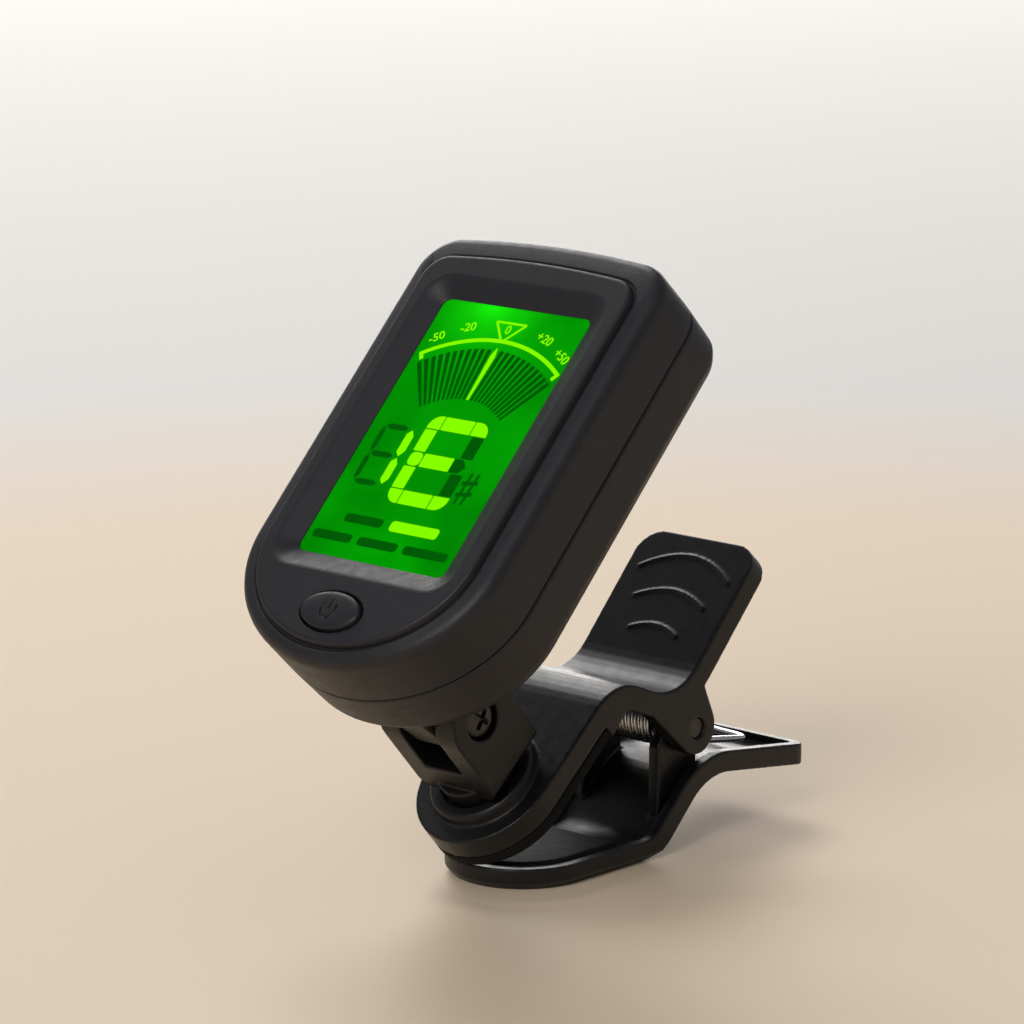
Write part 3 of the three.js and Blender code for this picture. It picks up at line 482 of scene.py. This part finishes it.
def front_shell():
    """Front cover: rounded rim, groove, raised panel, sloped screen recess and button hole."""
    rings = [(level, head_outline(inset)) for level, inset in RIM_PROFILE]
    rings += [(level, panel_outline(inset)) for level, inset in PANEL_PROFILE]
    shell = loft("front_shell", rings)
    inner = head_outline(HEAD_WALL)
    hollow = loft("hollow", [(HOLLOW_BELOW, inner), (-FACE_THICKNESS, inner)])
    recess_rings = []
    for level, grow in RECESS_PROFILE:
        corner = SCREEN["corner"] + grow * RECESS_CORNER_GROWTH
        outline = rounded_box(
            SCREEN["half_x"] + grow, SCREEN["half_u"] + grow, corner, 0, SCREEN["u"]
        )
        recess_rings.append((level, outline))
    recess = loft("recess", recess_rings)
    hole_x = BUTTON["half_x"] + BUTTON["clearance"]
    hole_u = BUTTON["half_u"] + BUTTON["clearance"]
    hole = loft("hole", [
        (level, oval(hole_x + grow, hole_u + grow, BUTTON["u"])) for level, grow in HOLE_PROFILE
    ])
    shell = cut(shell, [hollow, recess, hole])
    polish(moved(shell, HEAD))
    return dress(shell, SHELL, "head", ["front_cover"])


CAP_PROFILE = (                    # level and inset: flange, straight side, then the slight dome
    (-1.9, -0.8), (-1.35, -0.8), (-1.3, 0.0), (0.12, 0.0), (0.24, 0.07),
    (0.31, 0.2), (0.36, 0.5), (0.39, 0.9), (0.41, 1.4), (0.42, 1.85),
)
SIGN = {"u": -7.45, "level": 0.41, "ring": 0.86, "line": 0.13, "bar_low": 0.15, "bar_high": 1.25}
SIGN_GAP = math.radians(42)        # half of the ring's opening at the top


def button_cap():
    """Oval power key, slightly domed, with an engraved standby sign."""
    cap = loft("button_cap", [
        (z, oval(BUTTON["half_x"] - inset, BUTTON["half_u"] - inset, BUTTON["u"]))
        for z, inset in CAP_PROFILE
    ])
    u = SIGN["u"]
    level = SIGN["level"]
    start = math.pi / 2 + SIGN_GAP
    end = math.pi * 5 / 2 - SIGN_GAP
    ring = circle_points(0.0, u, SIGN["ring"], SIGN["ring"], start, end, 40)
    bar = [(0.0, u + SIGN["bar_low"], level), (0.0, u + SIGN["bar_high"], level)]
    cap = cut(cap, [
        tube("sign_ring", [(x, y, level) for x, y in ring], SIGN["line"]),
        tube("sign_bar", bar, SIGN["line"]),
    ])
    polish(moved(cap, HEAD))
    return dress(cap, BUTTON_BLACK, "button", ["power_button"])


RIBS = {"count": 6, "half": 4.2, "taper": 0.25, "u": 9.4, "pitch": 1.25, "radius": 0.22}
RIB_SAG = 0.5                      # how far a thumb rib's middle dips below its ends
RIB_SHOULDER_SAG = 0.35            # the same, half way out


def rear_pieces():
    """Rear cover, and the battery lid with its thumb ribs."""
    rear = moulded("rear_cover", HEAD, voxel=0.16, passes=5, keep=0.3)
    rear.name = "rear_shell"
    polish(moved(rear, HEAD), 50)
    dress(rear, SHELL, "head", ["rear_cover"])
    ribs = []
    for i in range(RIBS["count"]):
        half = RIBS["half"] - RIBS["taper"] * i
        u = RIBS["u"] + RIBS["pitch"] * i
        sags = ((-1, 0), (-0.5, RIB_SHOULDER_SAG), (0, RIB_SAG), (0.5, RIB_SHOULDER_SAG), (1, 0))
        points = [(half * across, u - sag, HEAD_BACK) for across, sag in sags]
        ribs.append(tube("rib", points, RIBS["radius"]))
    door = moulded("battery_door", HEAD, voxel=0.14, passes=4, keep=0.3, extras=ribs)
    door.name = "battery_lid"
    polish(moved(door, HEAD), 50)
    dress(door, SHELL, "door", ["battery_door"])


# ------------------------------------------------------------------ display

GLYPH_LEVEL = -1.56                # just in front of the display panel
GLYPH_THICKNESS = 0.03
GLYPH_SHIFT = -0.3                 # the whole figure sits a little left of the middle
LABEL_SIZE = 1.38
LABEL_WEIGHT = 0.012


def plate(points):
    """A thin flat shape on the display, from its outline."""
    area = sum(a[0] * b[1] - b[0] * a[1] for a, b in zip(points, points[1:] + points[:1]))
    if area < 0:
        points = points[::-1]
    return loft("plate", [(GLYPH_LEVEL - GLYPH_THICKNESS, points), (GLYPH_LEVEL, points)])


def box_plate(x0, x1, u0, u1, r=0.08):
    half_x = (x1 - x0) / 2
    half_u = (u1 - u0) / 2
    return plate(rounded_box(half_x, half_u, r, (x0 + x1) / 2, (u0 + u1) / 2, 3))


def corner_plate(x0, x1, u0, u1, right, top, r=1.35):
    """A segment with one large rounded corner."""
    points = [(x0, u0), (x1, u0), (x1, u1), (x0, u1)]
    index = {(False, False): 0, (True, False): 1, (True, True): 2, (False, True): 3}[(right, top)]
    cx = x1 - r if right else x0 + r
    cy = u1 - r if top else u0 + r
    start = (index - 2) * math.pi / 2
    rounded = circle_points(cx, cy, r, r, start, start + math.pi / 2, 8)
    return plate(points[:index] + rounded + points[index + 1:])


def label(text, x, u, turn):
    curve = bpy.data.curves.new("label", "FONT")
    curve.body = text
    curve.size = LABEL_SIZE
    curve.align_x = "CENTER"
    curve.align_y = "CENTER"
    curve.extrude = GLYPH_THICKNESS / 2
    curve.offset = LABEL_WEIGHT
    curve.resolution_u = 4
    made = settled(new_object("label", curve))
    place = Matrix.Translation((x, u, GLYPH_LEVEL - GLYPH_THICKNESS / 2))
    return moved(made, place @ Matrix.Rotation(turn, 4, "Z"))


def strip(points, width):
    """A line of constant width through points of the display."""
    left = []
    right = []
    for i, (x, y) in enumerate(points):
        before = Vector(points[max(i - 1, 0)])
        after = Vector(points[min(i + 1, len(points) - 1)])
        along = (after - before).normalized() * width / 2
        left.append((x - along.y, y + along.x))
        right.append((x + along.y, y - along.x))
    return plate(left + right[::-1])


FAN_CENTRE = (0.0, 8.9)


def on_fan(radius, angle):
    return (FAN_CENTRE[0] + radius * math.sin(angle), FAN_CENTRE[1] + radius * math.cos(angle))


def ray(angle, near, far, near_width, far_width):
    side = Vector((math.cos(angle), -math.sin(angle)))
    low = Vector(on_fan(near, angle))
    high = Vector(on_fan(far, angle))
    corners = [low - side * near_width / 2, low + side * near_width / 2]
    corners += [high + side * far_width / 2, high - side * far_width / 2]
    return plate([tuple(corner) for corner in corners])


def joined(name, parts, material):
    bm = bmesh.new()
    for part in parts:
        bm.from_mesh(part.data)
        bpy.data.objects.remove(part)
    mesh = bpy.data.meshes.new(name)
    bm.to_mesh(mesh)
    bm.free()
    made = moved(new_object(name, mesh), HEAD @ Matrix.Translation((GLYPH_SHIFT, 0, 0)))
    return dress(made, material, "head")


SCALE_SWEEP = math.radians(34.5)   # half of the scale arc
SCALE_R = 15.75
SCALE_STEPS = 48
SCALE_LINE = 0.42
SCALE_END = {"near": 15.0, "far": 15.6, "inset": 0.013}
SCALE_LABELS = (                   # text, x, u and turn in degrees
    ("-50", -8.0, 24.0, 29), ("-20", -4.9, 25.6, 17), ("0", 0, 25.95, 0),
    ("+20", 4.9, 25.6, -17), ("+50", 8.0, 24.0, -29),
)
MARKER = ((-1.9, 26.75), (1.9, 26.75), (0, 24.55), (-1.9, 26.75))
MARKER_LINE = 0.24
FAN_BARS = 11                      # on each side of the needle
FAN_PITCH = 3.15                   # degrees
FAN_BAR = {"near": 8.9, "far": 14.7, "near_width": 0.24, "far_width": 0.5}
NEEDLE = ((-0.13, 17.8), (0.13, 17.8), (0.3, 22.9), (0, 23.9), (-0.3, 22.9))

FIGURE = {"left": -2.85, "right": 4.7, "low": 5.65, "high": 15.6, "bar": 1.5, "gap": 0.14}
FIGURE_SPLIT = (-1.1, 2.6)         # where the three parts of a crossbar meet
FIGURE_JOINT_INSET = 0.05          # of the rounded end in the middle of the left side
FIGURE_JOINT_R = 0.5
FIGURE_TIP = 0.25                  # from the unlit half crossbar's point to the right edge
FIGURE_SHOULDER = 0.9              # from where that point begins

NUMERAL = {"left": -8.1, "right": -4.1, "thick": 0.62, "levels": (7.25, 10.45, 13.6)}
NUMERAL_RISERS = ((7.5, 10.2), (10.7, 13.4))
NUMERAL_SHADED_WIDTH = 0.6
NUMERAL_LIT_WIDTH = 0.95
NUMERAL_BAR = {"left_tip": 0.35, "left_shoulder": 0.9, "right_tip": 0.75, "right_shoulder": 1.25}
RISER = {"near": 0.3, "tip": 0.15, "far": 0.5}  # how its end is cut, across its width

SHARP = {"x": 6.0, "spread": 0.42, "lean": 0.12, "low": 6.7, "high": 10.2, "upright": 0.3}
SHARP_BAR = {"x0": 5.05, "x1": 6.95, "u0": 8.35, "u1": 8.6, "spread": 1.5, "width": 0.42}

MODE_CORNER = 0.35
MODE_LIT = (-0.3, 5.8, 2.65, 3.8)  # x from and to, u from and to
MODE_SHADED = (
    (-6.2, -1.3, 2.75, 3.7), (-8.9, -3.9, 0.55, 1.5), (-3.1, 2.0, 0.55, 1.5), (2.8, 8.4, 0.55, 1.5),
)


def scale_marks():
    """The scale: arc with end ticks, labels, marker triangle and needle lit, the fan unlit."""
    arc = []
    for i in range(SCALE_STEPS + 1):
        arc.append(on_fan(SCALE_R, -SCALE_SWEEP + 2 * SCALE_SWEEP * i / SCALE_STEPS))
    lit = [strip(arc, SCALE_LINE)]
    for side in (-1, 1):
        angle = side * (SCALE_SWEEP - SCALE_END["inset"])
        lit.append(ray(angle, SCALE_END["near"], SCALE_END["far"], SCALE_LINE, SCALE_LINE))
    for start, end in zip(MARKER, MARKER[1:]):
        lit.append(strip([start, end], MARKER_LINE))
    for text, x, u, turn in SCALE_LABELS:
        lit.append(label(text, x, u, math.radians(turn)))
    shaded = []
    for i in range(1, FAN_BARS + 1):
        for side in (-1, 1):
            shaded.append(ray(side * math.radians(FAN_PITCH * i), **FAN_BAR))
    lit.append(plate(list(NEEDLE)))
    return lit, shaded


def letter_figure():
    """The large segment figure: its right-hand uprights and half crossbar are unlit."""
    lit = []
    shaded = []
    left, right, bar, gap = FIGURE["left"], FIGURE["right"], FIGURE["bar"], FIGURE["gap"]
    split_left, split_right = FIGURE_SPLIT
    middle = (FIGURE["low"] + FIGURE["high"]) / 2
    middle_low = middle - bar / 2
    middle_high = middle + bar / 2
    for low, top in ((FIGURE["high"] - bar, True), (FIGURE["low"], False)):
        lit.append(corner_plate(left, split_left - gap, low, low + bar, False, top))
        lit.append(box_plate(split_left, split_right, low, low + bar))
        lit.append(corner_plate(split_right + gap, right, low, low + bar, True, top))
    joint_left = left + FIGURE_JOINT_INSET
    lit.append(box_plate(joint_left, split_left - gap, middle_low, middle_high, FIGURE_JOINT_R))
    lit.append(box_plate(split_left, split_right, middle_low, middle_high))
    for low, high in (
        (FIGURE["low"] + bar + gap, middle_low - gap),
        (middle_high + gap, FIGURE["high"] - bar - gap),
    ):
        lit.append(box_plate(left, left + bar, low, high))
        shaded.append(box_plate(right - bar, right, low, high))
    shaded.append(plate([
        (split_right + gap, middle_low), (right - FIGURE_SHOULDER, middle_low),
        (right - FIGURE_TIP, middle), (right - FIGURE_SHOULDER, middle_high),
        (split_right + gap, middle_high),
    ]))
    return lit, shaded


def numeral():
    """The small segment figure on the left, which shows a one."""
    lit = []
    shaded = []
    left, right, half = NUMERAL["left"], NUMERAL["right"], NUMERAL["thick"] / 2
    shoulder_left = left + NUMERAL_BAR["left_shoulder"]
    shoulder_right = right - NUMERAL_BAR["right_shoulder"]
    for level in NUMERAL["levels"]:
        shaded.append(plate([
            (left + NUMERAL_BAR["left_tip"], level),
            (shoulder_left, level + half), (shoulder_right, level + half),
            (right - NUMERAL_BAR["right_tip"], level),
            (shoulder_right, level - half), (shoulder_left, level - half),
        ]))
    for low, high in NUMERAL_RISERS:
        for x, group, width in (
            (left, shaded, NUMERAL_SHADED_WIDTH),
            (right - NUMERAL_SHADED_WIDTH, lit, NUMERAL_LIT_WIDTH),
        ):
            middle = x + width / 2
            group.append(plate([
                (x, low + RISER["near"]), (middle, low - RISER["tip"]),
                (x + width, low + RISER["far"]), (x + width, high - RISER["far"]),
                (middle, high + RISER["tip"]), (x, high - RISER["near"]),
            ]))
    return lit, shaded


def sharp_sign():
    strokes = []
    for offset in (-SHARP["spread"], SHARP["spread"]):
        x = SHARP["x"] + offset
        foot = (x - SHARP["lean"], SHARP["low"])
        head = (x + SHARP["lean"], SHARP["high"])
        strokes.append(strip([foot, head], SHARP["upright"]))
        rise = offset * SHARP_BAR["spread"]
        start = (SHARP_BAR["x0"], SHARP_BAR["u0"] + rise)
        end = (SHARP_BAR["x1"], SHARP_BAR["u1"] + rise)
        strokes.append(strip([start, end], SHARP_BAR["width"]))
    return strokes


def display():
    """Everything the display shows, in one lit and one shaded piece."""
    lit, shaded = scale_marks()
    for more_lit, more_shaded in (letter_figure(), numeral()):
        lit += more_lit
        shaded += more_shaded
    shaded += sharp_sign()
    lit.append(box_plate(*MODE_LIT, MODE_CORNER))
    for box in MODE_SHADED:
        shaded.append(box_plate(*box, MODE_CORNER))
    joined("segments_lit", lit, LIT)
    joined("segments_shaded", shaded, SHADED)


# ------------------------------------------------------------------ yoke and screws

HINGE_BOLT_PROFILE = (             # radius and height along the hinge, from the thread's end
    (1.0, -4.9), (1.0, 4.1), (1.75, 4.12), (1.88, 4.2), (1.9, 4.34), (1.84, 4.52),
    (1.65, 4.68), (1.3, 4.8), (0.8, 4.87), (0.3, 4.9),
)
CROSS = {"reach": 1.2, "half": 0.27, "turn": 0.35}
CROSS_RINGS = (                    # level, share of the reach and of the half width, corner
    (4.25, 0.55, 0.8, 0.08), (5.1, 1.08, 1.15, 0.1),
)


def cross_cutters():
    """Two tapered bars that sink a cross recess."""
    rings = []
    for level, along, across, corner in CROSS_RINGS:
        outline = rounded_box(CROSS["reach"] * along, CROSS["half"] * across, corner, 0, 0, 3)
        rings.append((level, outline))
    cutters = []
    for turn in (0, math.pi / 2):
        bar = loft("bar", rings)
        cutters.append(moved(bar, Matrix.Rotation(turn + CROSS["turn"], 4, "Z")))
    return cutters


def yoke_pieces():
    """Yoke, and the cross-head screw that the head tilts on."""
    yoke = moulded("swivel_yoke", SEAT, voxel=0.1, passes=6, keep=0.25)
    yoke.name = "yoke_body"
    polish(moved(yoke, SEAT), 50)
    dress(yoke, CLIP_BLACK, "yoke", ["swivel_yoke"])
    screw = cut(turned("hinge_bolt", HINGE_BOLT_PROFILE), cross_cutters())
    polish(moved(screw, HINGE), 30)
    dress(screw, BLACK_STEEL, "yoke", ["hinge_screw"])


# ------------------------------------------------------------------ clip

# Half width, then the distance up the lever of a ridge's ends and of its crown.
RIDGES = ((5.9, 9.7, 11.9), (4.6, 6.4, 7.8), (3.15, 2.85, 3.75))
RIDGE_RADIUS = 0.22
RIDGE_STEPS = 24
RIDGE_LIFT = 0.02                  # of its centre line over the lever's face


def lever_ridges():
    """Three raised crescents across the finger lever, in the clip's millimetre frame."""
    ridges = []
    for half, ends, crown in RIDGES:
        points = []
        for i in range(RIDGE_STEPS + 1):
            across = -1 + 2 * i / RIDGE_STEPS
            climb = ends + (crown - ends) * (1 - across * across)
            place = LEVER @ Vector((half * across, climb, RIDGE_LIFT))
            points.append(CLIP.inverted() @ place)
        ridges.append(tube("ridge", points, RIDGE_RADIUS))
    return ridges


def clip_pieces():
    """Both jaws and their pads, with the CAD's edges rounded."""
    upper = moulded("upper_jaw", CLIP, voxel=0.13, passes=6, keep=0.3, extras=lever_ridges())
    upper.name = "upper_jaw_shell"
    polish(moved(upper, CLIP), 50)
    dress(upper, CLIP_BLACK, "upper_clip", ["upper_jaw"])
    lower = moulded("lower_jaw", CLIP, voxel=0.14, passes=6, keep=0.3)
    lower.name = "lower_jaw_shell"
    polish(moved(lower, CLIP), 50)
    dress(lower, CLIP_BLACK, "lower_clip", ["lower_jaw"])
    for node, place, body in (("upper_pad", SEAT, "upper_clip"), ("lower_pad", CLIP, "lower_clip")):
        pad = moulded(node, place, voxel=0.12, passes=5, keep=0.3)
        pad.name = node + "_rubber"
        polish(moved(pad, place), 50)
        dress(pad, RUBBER, body, [node])


SPRING_R = 2.15                    # of the coil, to the middle of the wire
SPRING_WIRE = 0.36                 # radius of the wire
SPRING_HALF = 2.95
SPRING_TURNS = 7
STEPS_PER_TURN = 30
COIL_END = math.radians(-100)      # where the coil runs out into the lower leg
LOWER_LEG = (                      # bends of the leg, in the clip's millimetres
    (3.5, 26, -0.62), (3.5, 30, -1.25), (3.4, 33.6, -1.85),
    (2.6, 34.9, -2.05), (0, 35.4, -2.15), (-2.2, 35.8, -2.2),
)
UPPER_LEG_OFFSET = 0.85            # beyond the coil's end, across the clip
UPPER_LEG_REACH = (2.5, 5.5, 8.5)  # distances up the lever
UPPER_LEG_WRAP = range(75, -1, -5)  # degrees round the pin before the leg runs straight
PIVOT_MM = CLIP.inverted() @ PIVOT_POINT


def coil_point(x, angle):
    y = PIVOT_MM.y + SPRING_R * math.cos(angle)
    z = PIVOT_MM.z + SPRING_R * math.sin(angle)
    return Vector((x, y, z))


def eased(points, steps):
    """Catmull-Rom curve through the points."""
    result = []
    padded = [points[0]] + points + [points[-1]]
    for a, b, c, d in zip(padded, padded[1:], padded[2:], padded[3:]):
        for i in range(steps):
            t = i / steps
            square = (2 * a - 5 * b + 4 * c - d) * t * t
            cube = (3 * b - a - 3 * c + d) * t ** 3
            result.append(0.5 * (2 * b + (c - a) * t + square + cube))
    return result + [points[-1]]


def spring_pieces():
    """The coil with its lower leg, and the upper leg, which turns with the lever."""
    total = SPRING_TURNS * STEPS_PER_TURN
    coil = []
    for i in range(total + 1):
        x = -SPRING_HALF + 2 * SPRING_HALF * i / total
        coil.append(coil_point(x, COIL_END - (total - i) * 2 * math.pi / STEPS_PER_TURN))
    path = coil[:-1] + eased([coil[-1]] + [Vector(place) for place in LOWER_LEG], 6)
    lower = tube("spring_coil", path, SPRING_WIRE, 16)
    polish(moved(lower, CLIP), 60)
    dress(lower, STEEL, "lower_clip", ["torsion_spring"])
    x = -SPRING_HALF - UPPER_LEG_OFFSET
    top = LEVER_SLOPE + math.pi / 2
    path = [coil_point(x, top + math.radians(turn)) for turn in UPPER_LEG_WRAP]
    start = coil_point(x, top)
    path += [start + LEVER_U * distance for distance in UPPER_LEG_REACH]
    upper = tube("spring_leg", path, SPRING_WIRE, 16)
    polish(moved(upper, CLIP), 60)
    dress(upper, STEEL, "upper_clip", ["spring_upper_leg"])


# ------------------------------------------------------------------ carried-over CAD nodes

CARRIED = {
    "lcd_window": WINDOW,
    "lcd_glass": LCD_GREEN,
    "backlight_guide": WHITE,
    "backlight_led": WHITE,
    "zebra_connector": ZEBRA_PINK,
    "circuit_board": BOARD_GREEN,
    "controller_chip": CHIP_BLACK,
    "tact_switch": CHIP_BLACK,
    "switch_plunger": WHITE,
    "coin_cell": STEEL,
    "battery_contact_negative": BRASS,
    "battery_contact_positive": BRASS,
    "piezo_disc": BRASS,
    "case_screw_1": BLACK_STEEL,
    "case_screw_2": BLACK_STEEL,
    "hinge_nut": STEEL,
    "swivel_washer": STEEL,
    "swivel_screw": STEEL,
    "pivot_pin": BLACK_STEEL,
}
CARRIED_BEVEL = 0.00008            # metres


def carry_over():
    """Materials and eased edges for the CAD nodes that are shown as they are."""
    for name, material in CARRIED.items():
        node = nodes[name]
        node.data.materials.clear()
        node.data.materials.append(material)
        edge = node.modifiers.new("edge", "BEVEL")
        edge.width = CARRIED_BEVEL
        edge.segments = 2
        edge.limit_method = "ANGLE"
        edge.angle_limit = math.radians(50)


# ------------------------------------------------------------------ stage, lights and camera

FLOOR_R = 4.0
FLOOR_THICKNESS = 0.004
FLOOR_NEAR = (0.80, 0.63, 0.44)    # warm under the object, fading to a cool grey
FLOOR_FAR = (0.69, 0.665, 0.63)
FLOOR_FADE = (0.16, 0.26)          # metres from the middle
LIGHT_TARGET = (0, 0, 0.03)
LIGHTS = (                         # name, place and size in metres, watts, colour
    ("key", (0.3, -1.35, 1.0), (0.8, 0.8), 12.0, (0.97, 0.98, 1.0)),
    ("high", (-1.25, 0.75, 1.2), (0.9, 0.9), 12.5, (1.0, 0.985, 0.97)),
    ("back", (-1.7, 1.85, 0.5), (2.0, 0.6), 24.0, (1.0, 0.97, 0.93)),
)
WORLD_COLOUR = (0.93, 0.95, 1.0)
WORLD_STRENGTH = 0.27
SENSOR_WIDTH = 36.0
FOCAL_LENGTH = 161.6
CAMERA_OFFSET = (290.73, -310.08, 116.28)  # millimetres from the swivel's seat
CAMERA_FORWARD = (-0.66474, 0.71769, -0.20746)


def floor():
    """Plain pale floor that fades from warm to cool with distance."""
    made = Nodes("floor_pale")
    distance = made.add("ShaderNodeVectorMath", operation="LENGTH")
    made.link(made.place, distance, 0)
    ranger = made.add("ShaderNodeMapRange")
    ranger.inputs["From Min"].default_value = FLOOR_FADE[0]
    ranger.inputs["From Max"].default_value = FLOOR_FADE[1]
    made.link(distance.outputs["Value"], ranger, "Value")
    tint = made.ramp(ranger.outputs["Result"], [(0.0, FLOOR_NEAR), (1.0, FLOOR_FAR)])
    made.link(tint, made.shader, "Base Color")
    made.shader.inputs["Roughness"].default_value = 0.6
    made.shader.inputs["Specular IOR Level"].default_value = 0.25
    outline = oval(FLOOR_R, FLOOR_R, 0, 96)
    ground = loft("floor", [(-FLOOR_THICKNESS, outline), (0.0, outline)])
    ground.data.materials.append(made.material)


def area_light(name, place, size, power, colour):
    light = bpy.data.lights.new(name, "AREA")
    light.shape = "RECTANGLE"
    light.size, light.size_y = size
    light.energy = power
    light.color = colour
    made = new_object(name, light)
    made.location = place
    aim = Vector(LIGHT_TARGET) - Vector(place)
    made.rotation_euler = aim.to_track_quat("-Z", "Y").to_euler()
    made.visible_camera = False


def lights():
    world = bpy.data.worlds.new("studio")
    bpy.context.scene.world = world
    world.use_nodes = True
    background = world.node_tree.nodes["Background"]
    background.inputs["Color"].default_value = (*WORLD_COLOUR, 1.0)
    background.inputs["Strength"].default_value = WORLD_STRENGTH
    for values in LIGHTS:
        area_light(*values)


def camera():
    lens = bpy.data.cameras.new("camera")
    lens.sensor_width = SENSOR_WIDTH
    lens.lens = FOCAL_LENGTH
    lens.clip_start = 0.01
    lens.clip_end = 20.0
    made = new_object("camera", lens)
    made.location = SEAT_POINT + Vector(CAMERA_OFFSET) * MM
    made.rotation_euler = Vector(CAMERA_FORWARD).to_track_quat("-Z", "Y").to_euler()
    bpy.context.scene.camera = made


bpy.context.scene.view_settings.view_transform = "Standard"
camera()
lights()
floor()
front_shell()
button_cap()
rear_pieces()
display()
yoke_pieces()
clip_pieces()
spring_pieces()
carry_over()
